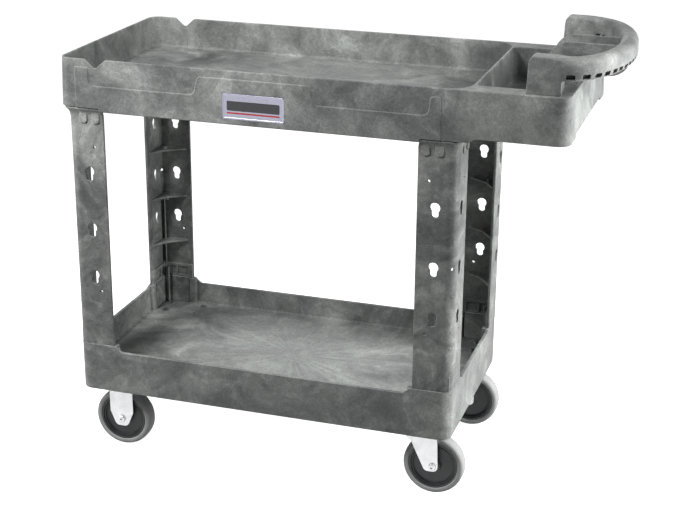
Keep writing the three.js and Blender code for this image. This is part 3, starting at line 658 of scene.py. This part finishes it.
def top_rounding(x):
    """The radius of the handle's top edges, which grows from the uprights to the grip."""
    return 4 + 11 * smoothstep(972, 1020, x)


def handle_ring(spot, along, bottom, top, top_radius, bottom_radius, slant=0.0):
    """One section of the handle across its path; slant leans the upright's left end."""
    half = UPRIGHT_HALF + (GRIP_HALF - UPRIGHT_HALF) * smoothstep(980, 1020, spot.x)
    section = [
        (-half, bottom, bottom_radius), (half, bottom, bottom_radius),
        (half, top, top_radius), (-half, top, top_radius),
    ]
    side = Vector((along.y, -along.x))
    ring = []
    for p in rounded(section, 7):
        flat = spot + side * p.x
        lean = slant * (p.y - HANDLE_BOTTOM) / (HANDLE_TOP - HANDLE_BOTTOM)
        ring.append(Vector((flat.x + lean, flat.y, p.y)))
    return ring


def upright_ring(x, top, top_radius, bottom=HANDLE_BOTTOM, bottom_radius=0.8, slant=0.0):
    spot, along = Vector((x, UPRIGHT_Y)), Vector((1, 0))
    return handle_ring(spot, along, bottom, top, top_radius, bottom_radius, slant)


def handle_loop():
    """One sweep: front upright, round the grip, back upright."""
    rings = []
    for degrees in (0, 15, 30, 45, 60, 75, 90):
        run = UPRIGHT_CORNER * (1 - math.cos(math.radians(degrees)))
        top = HANDLE_TOP - UPRIGHT_CORNER * (1 - math.sin(math.radians(degrees)))
        slant = 3.0 * (1 - run / UPRIGHT_CORNER * 0.4)
        rings.append(upright_ring(UPRIGHT_LEFT + run, top, 3.5, slant=slant))
    for x in (950, 962, 974, 984, 992, UPRIGHT_RIGHT - 0.02):
        slant = max(0.0, 1.8 * (1 - (x - 942) / 20))
        rings.append(upright_ring(x, HANDLE_TOP, top_rounding(x), slant=slant))
    for rise, run in ((22.0, 0.0), (23.7, 0.6), (25.1, 1.8), (26.2, 4.0)):
        x = UPRIGHT_RIGHT + run
        rings.append(upright_ring(x, HANDLE_TOP, top_rounding(x), HANDLE_BOTTOM + rise, 2.0 + run))
    loop_start = math.degrees(math.asin(7.0 / LOOP_REACH))
    for i in range(LOOP_STEPS + 1):
        degrees = -90 + loop_start + (90 - loop_start) * i / LOOP_STEPS
        spot, along = loop_point(math.radians(degrees))
        bottom_radius = 6 + 6 * smoothstep(1000, 1040, spot.x)
        rings.append(handle_ring(spot, along, GRIP_BOTTOM, HANDLE_TOP, top_rounding(spot.x), bottom_radius))
    back_half = [[Vector((p.x, DECK_WIDTH - p.y, p.z)) for p in ring] for ring in reversed(rings[:-1])]
    return loft(rings + back_half)


def grip_slots():
    """Cutters for the short slots under the grip, evenly spaced along it."""
    samples = [math.radians(-90 + 180 * i / 400) for i in range(401)]
    points = [loop_point(a)[0] for a in samples]
    lengths = [0.0]
    for a, b in zip(points, points[1:]):
        lengths.append(lengths[-1] + (b - a).length)
    slots = []
    for i in range(GRIP_SLOTS):
        target = lengths[-1] * (i + 0.5) / GRIP_SLOTS
        index = min(range(len(lengths)), key=lambda k: abs(lengths[k] - target))
        spot, along = loop_point(samples[index])
        turn = Matrix.Rotation(math.atan2(along.y, along.x), 4, "Z")
        shift = Matrix.Translation((spot.x, spot.y, 0))
        for half, low, high in SLOT_CUTS:
            outline = rectangle(-half, half, SLOT_BOTTOM, SLOT_TOP, 2.2)
            slots.append(moved(slab("y", outline, low, high), shift @ turn))
    return merged(*slots)


def push_handle():
    loop = cut(handle_loop(), grip_slots())
    fins = [slab("y", FIN, y, y + FIN_THICKNESS, 1.2, 10) for y in FIN_FRONTS]
    return merged(loop, *fins)


# ------------------------------------------------------------------ lower shelf
def corner_frames():
    """How a corner's own inward distances (dx, dy) become deck coordinates, for legs and for the shelf."""
    frames = {}
    for depth in ("front", "rear"):
        for side in ("left", "right"):
            sx, sy = (1 if side == "left" else -1), (1 if depth == "front" else -1)
            leg = Matrix.Translation((LEG_INSET if sx > 0 else LEG_RIGHT,
                                      LEG_INSET if sy > 0 else DECK_WIDTH - LEG_INSET, 0))
            shelf = Matrix.Translation((SHELF_LEFT if sx > 0 else SHELF_RIGHT,
                                        SHELF_FRONT if sy > 0 else SHELF_BACK, 0))
            mirror = Matrix.Diagonal((sx, sy, 1, 1))
            frames[f"{depth}_{side}"] = (leg @ mirror, shelf @ mirror)
    return frames


CORNERS = corner_frames()


def casters():
    table = []
    for depth, y in (("front", CASTER_INSET), ("rear", DECK_WIDTH - CASTER_INSET)):
        table.append((f"rigid_{depth}", RIGID_X, RIGID_X, y))
        table.append((f"swivel_{depth}", SWIVEL_X, SWIVEL_X + TRAIL, y))
    return table


def centred(x, y, length, width, radius):
    return rectangle(x - length / 2, x + length / 2, y - width / 2, y + width / 2, radius)


def bolt_places(x, y):
    along, across = BOLT_SPACING
    return [(x + sx * along, y + sy * across) for sx in (-1, 1) for sy in (-1, 1)]


def rail_cut(low, high, rail):
    """What is cut from a wall of the shelf to leave its corners standing above a lower rail."""
    return [
        (low + RAIL_START, SHELF_TOP + 3, 0), (low + RAIL_START + 4, SHELF_TOP - 0.5, 3),
        (low + RAIL_END, rail, 10), (high - RAIL_END, rail, 10),
        (high - RAIL_START - 4, SHELF_TOP - 0.5, 3), (high - RAIL_START, SHELF_TOP + 3, 0),
    ]


def shelf_shell():
    outer = rectangle(SHELF_LEFT, SHELF_RIGHT, SHELF_FRONT, SHELF_BACK, SHELF_RADIUS)
    shell = stack("z", outer, [
        (SHELF_BOTTOM, 1.2), (SHELF_BOTTOM + 0.4, 0.4), (SHELF_BOTTOM + 1.2, 0), (SHELF_TOP - 1.6, 0),
        (SHELF_TOP - 0.6, 0.3), (SHELF_TOP, 1.2),
    ], steps=10)
    long_rails = slab("y", rail_cut(SHELF_LEFT, SHELF_RIGHT, LONG_RAIL), 0, DECK_WIDTH)
    end_rails = slab("x", rail_cut(SHELF_FRONT, SHELF_BACK, END_RAIL), 0, SHELF_RIGHT + 15)
    floor_fillet = wall_levels(SHELF_TOP, SHELF_FLOOR, 1.5, 5)[4:]
    tray = stack("z", inset(outer, RIM), [(SHELF_TOP + 1, -0.8), (SHELF_TOP - 1, 0)] + floor_fillet, 8)
    hollow = slab("z", inset(outer, WALL), SHELF_BOTTOM - THROUGH, SHELF_FLOOR - WALL)
    return cut(shell, long_rails, end_rails, tray, hollow)


def shelf_moulding():
    posts = []
    levels = [(SHELF_FLOOR - 2, -0.8), (SHELF_TOP - 1.5, 0), (SHELF_TOP - 0.4, 0.5), (SHELF_TOP, 1.6)]
    for _, shelf in CORNERS.values():
        for u0, u1, v0, v1 in POST_RECTANGLES:
            posts.append(moved(stack("z", rectangle(u0, u1, v0, v1, 2.5), levels, 4), shelf))
    rib_top = SHELF_FLOOR - 4
    pads = []
    for _, x, _, y in casters():
        pads.append(slab("z", centred(x, y, PAD_LENGTH, PAD_WIDTH, 3), PLATE_TOP + GAP, rib_top))
    ribs = []
    for x in CROSS_RIBS_X:
        ribs.append(block(x - RIB_HALF, x + RIB_HALF, SHELF_FRONT + 3, SHELF_BACK - 3, 166, rib_top))
    for y in LONG_RIBS_Y:
        ribs.append(block(SHELF_LEFT + 3, SHELF_RIGHT - 3, y - RIB_HALF, y + RIB_HALF, 168, rib_top))
    return merged(shelf_shell(), *posts, *pads, *ribs)


# ------------------------------------------------------------------ legs, modelled for the front left one
def angle_outline(out, flange):
    """The L of a leg whose outer faces are pushed out, with flanges that long."""
    return [
        (-out, -out, LEG_RADIUS + out * 0.3), (flange, -out, 1.6), (flange, LEG_WALL, 1.6),
        (LEG_WALL, LEG_WALL, 5.0), (LEG_WALL, flange, 1.6), (-out, flange, 1.6),
    ]


def keyhole(u, height):
    start = math.asin(KEYHOLE_HALF_SLOT / KEYHOLE_RADIUS)
    points = []
    for i in range(25):
        a = -math.pi / 2 + start + (2 * math.pi - 2 * start) * i / 24
        points.append(Vector((u + KEYHOLE_RADIUS * math.cos(a), height + KEYHOLE_RADIUS * math.sin(a))))
    left, right, low = u - KEYHOLE_HALF_SLOT, u + KEYHOLE_HALF_SLOT, height - KEYHOLE_DROP
    foot = [(left, height, 0), (left, low, 6), (right, low, 6), (right, height, 0)]
    return points + rounded(foot, 5)[1:-1]


def leg_angle():
    """The bare leg: an L that flares into a lip under the skirt and steps back in above it."""
    flare = [
        (0, LEG_BOTTOM, FLANGE), (0, 735, FLANGE), (0.5, 740, FLANGE), (1.6, 745, 78.5), (3.2, 749, 77.5),
        (5.2, 752.5, 76), (7.2, 755.0, 74.9), (7.9, 756.4, 74.7), (LIP, 757.4, 74.7), (LIP, 758.2, 74.7),
        (7.4, 758.8, 74.5), (4, 758.9, 74.7), (4, LEG_TOP, FLANGE),
    ]
    return loft([lift("z", rounded(angle_outline(out, flange), 8), z) for out, z, flange in flare])


def leg_holes():
    """Cutters for the keyholes and peg holes in both flanges, and for the peg hole through the corner."""
    holes = []
    for height in KEYHOLE_HEIGHTS:
        for axis, u in KEYHOLE_PLACES:
            ring = keyhole(u, height)
            holes.append(loft([lift(axis, ring, -3), lift(axis, ring, LEG_WALL + 1)]))
    for height in PEG_HOLE_HEIGHTS:
        for axis, u in PEG_HOLE_PLACES:
            holes.append(disc(axis, u, height, PEG_RADIUS, -3, LEG_WALL + 1, sides=20))
    through_corner = disc("z", 0, 0, PEG_RADIUS, -20, 20, sides=20)
    diagonal = Matrix.Rotation(math.radians(-90), 4, Vector((1, -1, 0)).normalized())
    return merged(*holes), moved(through_corner, Matrix.Translation((4, 4, CORNER_PEG_HEIGHT)) @ diagonal)


def snap_bosses():
    bosses = []
    for start in SNAP_BOSS_STARTS:
        end = start + SNAP_BOSS_WIDTH
        tab = [(start, SNAP_BOSS_BOTTOM, 7), (end, SNAP_BOSS_BOTTOM, 7), (end, SNAP_BOSS_TOP, 0),
               (start, SNAP_BOSS_TOP, 0)]
        for axis in ("x", "y"):
            bosses.append(stack(axis, tab, [(-3.0, 1.2), (-2.6, 0.4), (-2.0, 0), (1, 0)]))
    return bosses


def socket_band():
    """The thick band inside the foot of a leg, with two windows in each flange."""
    plan = [(5, 5, 0), (78, 5, 0), (78, 11, 1.2), (11, 11, 9), (11, 78, 1.2), (5, 78, 0)]
    levels = [(LEG_BOTTOM, 0), (BAND_TOP - 2.5, 0), (BAND_TOP - 0.8, 0.6), (BAND_TOP, 1.8)]
    band = stack("z", plan, levels, 5)
    windows = []
    for low, high in WINDOWS:
        outline = rectangle(low, high, 253, 274, 2)
        for axis in ("y", "x"):
            windows.append(slab(axis, outline, 7, 14))
    return cut(band, merged(*windows))


def leg_webs():
    """The curved webs across the inside of a leg, and the knobs under or over two of them."""
    mid = (WEB_REACH + 5) / 2 - 6
    plan = [
        (5, 5, 0), (WEB_REACH + 8, 5, 0), (WEB_REACH, 11, 2), (mid + 4, mid + 4, WEB_CURVE),
        (11, WEB_REACH, 2), (5, WEB_REACH + 8, 0),
    ]
    webs = [slab("z", plan, height, height + WEB_THICKNESS, 0.8, 8) for height in WEB_HEIGHTS]
    knob = (LEG_WALL + WEB_REACH) / 2 - 8
    knobs = [disc("z", knob, knob, KNOB_RADIUS, low, low + KNOB_HEIGHT, 1.0, 24) for low in KNOB_BOTTOMS]
    return webs + knobs


def leg_shape():
    holes, corner_hole = leg_holes()
    body = cut(leg_angle(), holes, corner_hole)
    tongue = [
        (6.5, 6.5, 18), (69.5, 6.5, 0), (69.5, 12.5, 1), (12.5, 12.5, 12), (12.5, 69.5, 1), (6.5, 69.5, 0),
    ]
    foot = slab("z", tongue, TONGUE_BOTTOM, LEG_BOTTOM + 0.9)
    turn = Matrix.Rotation(math.radians(45), 4, "Z")
    fins = []
    for start, end, low, high in ((9.4, 22, 282, 445), (18, 34, TONGUE_BOTTOM, 272)):
        fins.append(moved(slab("z", rectangle(start, end, -1.3, 1.3), low, high, 0.5), turn))
    return merged(body, socket_band(), foot, *snap_bosses(), *leg_webs(), *fins)


# ------------------------------------------------------------------ casters
def hexagon(u, v, across, turn=0.0):
    turns = [turn + i * math.pi / 3 for i in range(6)]
    radius = across / math.sqrt(3)
    return [(u + radius * math.cos(a), v + radius * math.sin(a), 0) for a in turns]


def hex_nut(axis, u, v, across, low, high):
    """A nut whose corners are chamfered at both ends: a hexagon met by a cone."""
    body = slab(axis, hexagon(u, v, across), low, high)
    radius = across / math.sqrt(3)
    chamfer = (high - low) * 0.18
    levels = [
        (low, radius - 1.6), (low + chamfer, radius + 0.2), ((low + high) / 2, radius + 0.6),
        (high - chamfer, radius + 0.2), (high, radius - 1.6),
    ]
    return boolean(body, turned(axis, u, v, levels, 36), "INTERSECT")


def dome(axis, u, v, radius, base, top, sides=36):
    """A low domed head standing on base and rising to top."""
    levels = [(base, radius)]
    for degrees in (0, 20, 40, 58, 74, 86):
        a = math.radians(degrees)
        levels.append((base + (top - base) * (0.30 + 0.70 * math.sin(a)), radius * math.cos(a * 0.98)))
    return turned(axis, u, v, levels, sides)


def plate_fasteners(x, y):
    """The four bolts of a caster: washer, domed head and shank above, nut below."""
    shapes = []
    for u, v in bolt_places(x, y):
        shapes.append(disc("z", u, v, BOLT_WASHER, SHELF_FLOOR + GAP, SHELF_FLOOR + 1.1, 0.3))
        shapes.append(dome("z", u, v, BOLT_HEAD, SHELF_FLOOR + 1.0, SHELF_FLOOR + 4.6))
        shapes.append(disc("z", u, v, BOLT_RADIUS, PLATE_BOTTOM - 10.8, SHELF_FLOOR + 1, 0.8, 20))
        shapes.append(hex_nut("z", u, v, BOLT_NUT, PLATE_BOTTOM - GAP - NUT_HEIGHT, PLATE_BOTTOM - GAP))
    return merged(*shapes)


def mounting_plate(x, y):
    plate = slab("z", centred(x, y, PLATE_LENGTH, PLATE_WIDTH, 7), PLATE_BOTTOM, PLATE_TOP, 0.6, 6)
    holes = []
    for u, v in bolt_places(x, y):
        slot = centred(u, v, PLATE_SLOT_LENGTH, PLATE_SLOT_WIDTH, 4.3)
        holes.append(slab("z", slot, PLATE_BOTTOM - 2, PLATE_TOP + 2))
    return cut(plate, merged(*holes))


def bent_fork(y, top, x0, x1, outer_bend=6.0):
    """Two legs and the strap between them, folded from one strip."""
    inner_bend = outer_bend - FORK_STEEL
    under = top - FORK_STEEL
    low = 30
    section = [
        (y - FORK_OUTER, low, 0), (y - FORK_INNER, low, 0), (y - FORK_INNER, under, inner_bend),
        (y + FORK_INNER, under, inner_bend), (y + FORK_INNER, low, 0), (y + FORK_OUTER, low, 0),
        (y + FORK_OUTER, top, outer_bend), (y - FORK_OUTER, top, outer_bend),
    ]
    return slab("x", section, x0, x1)


def trimmed(strap, side, y):
    """A folded strap cut to the outline that its legs show from the side."""
    return boolean(strap, slab("y", side, y - 30, y + 30), "INTERSECT")


def axle_hole(wheel_x, y):
    return disc("y", wheel_x, WHEEL_RADIUS, AXLE_HOLE, y - 30, y + 30, sides=28)


def rigid_fork(x, y):
    tip = WHEEL_RADIUS - 16.5
    side = [
        (x - 26.5, 160, 0), (x - 26.5, 79.5, 5), (x - 13, tip, 11.5), (x + 13, tip, 11.5),
        (x + 26.5, 79.5, 5), (x + 26.5, 160, 0),
    ]
    legs = trimmed(bent_fork(y, PLATE_BOTTOM - 0.1, x - 30, x + 30), side, y)
    return merged(mounting_plate(x, y), cut(legs, axle_hole(x, y)))


def swivel_fork(x, y, wheel_x):
    tip = WHEEL_RADIUS - 11
    side = [
        (x - 24, 150, 0), (x - 24, 128, 8), (x - 9, 116, 20), (wheel_x - 16, tip, 10.5),
        (wheel_x + 12, tip, 10.5), (wheel_x + 8, 150, 0),
    ]
    legs = trimmed(bent_fork(y, FORK_TOP, x - 29, wheel_x + 20, 7.0), side, y)
    legs = cut(legs, axle_hole(wheel_x, y), disc("z", x, y, KINGPIN_HOLE, 130, 150))
    crown = lathe([
        (KINGPIN_HOLE, 137.5), (17, 137.5), (19, 139.2), (27.5, 139.2), (28.6, 140.4), (28.6, 142.2),
        (27.6, FORK_TOP), (KINGPIN_HOLE, FORK_TOP),
    ], (x, y, 0), "z", 64)
    return merged(legs, crown)


def swivel_race(x, y):
    low, high = FORK_TOP + GAP, PLATE_BOTTOM - GAP
    return lathe([
        (KINGPIN_HOLE, low), (24, low), (27.0, 144.4), (28, 146.6), (28, 151), (27, 153.6), (24.5, high),
        (KINGPIN_HOLE, high),
    ], (x, y, 0), "z", 64)


def king_pin(x, y):
    shaft = disc("z", x, y, KINGPIN_RADIUS, 137, 154.9, 0.5, 28)
    nut = hex_nut("z", x, y, KINGPIN_NUT, 131.5, 137.2)
    return merged(shaft, nut)


def axle_bolt(wheel_x, y):
    seat = y - FORK_OUTER - GAP
    shank = disc("y", wheel_x, WHEEL_RADIUS, AXLE_RADIUS, seat - 1, y + 30, 0.6, 28)
    levels = [
        (seat, AXLE_HEAD), (seat - 2.2, AXLE_HEAD), (seat - 3.6, 7.3), (seat - 4.6, 6.0), (seat - 5.0, 4.4),
    ]
    head = turned("y", wheel_x, WHEEL_RADIUS, levels, 36)
    socket = slab("y", hexagon(wheel_x, WHEEL_RADIUS, 5.2, 0.3), seat - 6, seat - 2.2)
    return merged(shank, cut(head, socket))


def axle_nut(wheel_x, y):
    seat = y + FORK_OUTER + GAP
    nut = hex_nut("y", wheel_x, WHEEL_RADIUS, AXLE_NUT, seat, seat + 6.6)
    return cut(nut, disc("y", wheel_x, WHEEL_RADIUS, 5.2, seat - 2, seat + 9, sides=28))


def wheel_profile(side):
    """A closed ring profile from the (radius, half width) points of one side."""
    return [(radius, -half) for radius, half in side] + [(radius, half) for radius, half in reversed(side)]


def hub_shape(wheel_x, y):
    side = [
        (7.9, 18.4), (14.4, 18.4), (15.4, 17.6), (16.4, 11.2), (18.0, 9.6), (40.6, 9.0), (41.8, 9.8),
        (42.6, 12.6), (44.0, 13.4), (45.2, 12.6), (46.0, 12.6), (47.0, 14.8), (49.4, 15.2), (51.3, 14.6),
    ]
    return lathe(wheel_profile(side), (wheel_x, y, WHEEL_RADIUS))


def tyre_shape(wheel_x, y):
    side = [
        (51.0, 14.4), (52.2, 15.6), (54.0, 16.0), (57.5, 15.9), (60.0, 15.0), (61.8, 13.2), (62.9, 10.8),
        (63.35, 7.0), (WHEEL_RADIUS, 2.0),
    ]
    return lathe(wheel_profile(side), (wheel_x, y, WHEEL_RADIUS), segments=128)


# ------------------------------------------------------------------ badge
def badge_plate():
    x0, x1, z0, z1 = BADGE
    outline = rectangle(x0, x1, z0, z1, 4)
    plate = stack("y", outline, [(0.4, 0), (-0.5, 0), (-0.85, 0.3), (-1.0, 0.9)])
    return cut(plate, stack("y", inset(outline, 3.2), [(-2, -0.6), (-1.0, -0.4), (-0.6, 0.2)]))


def badge_stripe(low, high, radius):
    """A thin flat stripe across the badge, between two heights above its bottom edge."""
    x0, x1, z0, _ = BADGE
    return slab("y", rectangle(x0 + 9, x1 - 9, z0 + low, z0 + high, radius), -0.85, -0.5, 0.1)


# ------------------------------------------------------------------ pieces
def build_body():
    """The mouldings and the badge."""
    body, foam = "cart_body", "foam_plastic"
    piece("deck_moulding", deck_moulding(), FOAM, body, ["upper_deck"])
    piece("handle_moulding", push_handle(), FOAM_HANDLE, body, ["push_handle"], 38)
    piece("shelf_moulding", shelf_moulding(), FOAM_SHELF, body, ["lower_shelf"])
    leg = leg_shape()
    for corner, (matrix, _) in CORNERS.items():
        piece(f"leg_moulding_{corner}", moved(leg, matrix), FOAM_LEG, body, [f"leg_{corner}"])
    piece("badge_shell", badge_plate(), BADGE_METAL, body, ["badge_plate"])
    piece("badge_band", badge_stripe(17, 36, 2), CHARCOAL, body)
    piece("badge_line", badge_stripe(11, 14, 1), RED, body)


def build_caster(name, x, wheel_x, y):
    def steel_piece(new_name, shape, body, node):
        piece(f"{name}_{new_name}", shape, ZINC, body, [f"{name}_{node}"])

    fork_body = "cart_body"
    if name.startswith("swivel"):
        fork_body = f"{name}_yoke"
        steel_piece("crown_fork", swivel_fork(x, y, wheel_x), fork_body, "fork")
        steel_piece("top_plate", mounting_plate(x, y), "cart_body", "plate")
        steel_piece("raceway", swivel_race(x, y), "cart_body", "race")
        steel_piece("pin", king_pin(x, y), "cart_body", "kingpin")
    else:
        steel_piece("plate_fork", rigid_fork(x, y), fork_body, "fork")
    bolts = [f"{name}_plate_bolt_{i}" for i in range(1, 5)]
    piece(f"{name}_fasteners", plate_fasteners(x, y), DULL_ZINC, "cart_body", bolts)
    steel_piece("bolt", axle_bolt(wheel_x, y), fork_body, "axle_bolt")
    steel_piece("nut", axle_nut(wheel_x, y), fork_body, "axle_nut")
    wheel = f"{name}_wheel"
    piece(f"{name}_hub_moulding", hub_shape(wheel_x, y), HUB, wheel, [f"{name}_hub"])
    piece(f"{name}_tread", tyre_shape(wheel_x, y), TYRE, wheel, [f"{name}_tyre"])


def dress_kept_nodes():
    """The axle sleeves and the handle screws keep their CAD shapes and take the zinc material."""
    for name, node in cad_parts.items():
        if name.startswith("handle_screw") or name.endswith("axle_sleeve"):
            node.material_slots[0].material = ZINC


build_body()
for caster in casters():
    build_caster(*caster)
dress_kept_nodes()


# ------------------------------------------------------------------ stage, light and camera
def floor_material():
    n = Nodes("pale studio floor")
    cloud = n.noise(1.5, 2.0)
    colour = n.ramp(cloud, [(0.3, grey(0.86)), (0.7, grey(0.90))])
    return n.finish(Base_Color=colour, Roughness=0.8, Emission_Color=(1, 1, 1, 1), Emission_Strength=1.0)


def stage_floor(half=14.0):
    mesh = bpy.data.meshes.new("studio_floor")
    corners = [(-half, -half, 0), (half, -half, 0), (half, half, 0), (-half, half, 0)]
    mesh.from_pydata(corners, [], [(0, 1, 2, 3)])
    mesh.materials.append(floor_material())
    floor = bpy.data.objects.new("studio_floor", mesh)
    floor.visible_diffuse = False
    bpy.context.scene.collection.objects.link(floor)


def aimed(data, source, target):
    light = bpy.data.objects.new(data.name, data)
    light.location = source
    light.rotation_euler = (Vector(target) - Vector(source)).to_track_quat("-Z", "Y").to_euler()
    light.visible_camera = False
    bpy.context.scene.collection.objects.link(light)


def soft_box(name, source, target, width, height, power):
    """A rectangular light at source that faces target, in metres and watts."""
    data = bpy.data.lights.new(name, "AREA")
    data.shape = "RECTANGLE"
    data.size, data.size_y = width, height
    data.energy = power
    aimed(data, source, target)


def world_light(strength, reflected):
    """A white studio: plain white where it is seen, dimmer where it is reflected or lights the cart."""
    world = bpy.data.worlds.new("white studio")
    world.use_nodes = True
    tree = world.node_tree
    background = tree.nodes["Background"]
    background.inputs["Color"].default_value = (1, 1, 1, 1)
    rays = tree.nodes.new("ShaderNodeLightPath").outputs
    lit = tree.nodes.new("ShaderNodeMapRange")
    lit.inputs["To Min"].default_value = reflected
    lit.inputs["To Max"].default_value = strength
    tree.links.new(rays["Is Diffuse Ray"], lit.inputs["Value"])
    level = tree.nodes.new("ShaderNodeMapRange")
    level.inputs["To Max"].default_value = 1.0
    tree.links.new(rays["Is Camera Ray"], level.inputs["Value"])
    tree.links.new(lit.outputs["Result"], level.inputs["To Min"])
    tree.links.new(level.outputs["Result"], background.inputs["Strength"])
    bpy.context.scene.world = world


def camera():
    data = bpy.data.cameras.new("camera")
    data.lens = 75.96
    data.sensor_width = 36.0
    data.clip_end = 100.0
    obj = bpy.data.objects.new("camera", data)
    obj.location = (0.8520, -2.7842, 1.4995)
    obj.rotation_euler = Euler([math.radians(a) for a in (69.902, -0.566, 17.407)])
    bpy.context.scene.collection.objects.link(obj)
    bpy.context.scene.camera = obj


stage_floor()
world_light(0.01, 0.38)
soft_box("key", (-0.75, -1.2, 2.1), (-0.3, 0, 0.6), 0.6, 0.6, 39)
soft_box("left_face", (-1.5, -0.6, 0.9), (-0.55, -0.2, 0.75), 0.4, 0.6, 11)
soft_box("right", (1.35, 0.1, 1.3), (0.3, 0, 0.7), 0.8, 0.8, 22)
soft_box("right_low", (1.3, 0.0, 0.4), (0.3, 0, 0.6), 0.9, 0.5, 14)
soft_box("front_low", (0.1, -1.6, 0.12), (0.05, -0.2, 0.25), 0.8, 0.2, 0.5)
soft_box("back", (-0.5, 2.3, 1.3), (0, 0, 0.5), 1.2, 1.0, 9)
camera()
bpy.context.scene.view_settings.view_transform = "Standard"
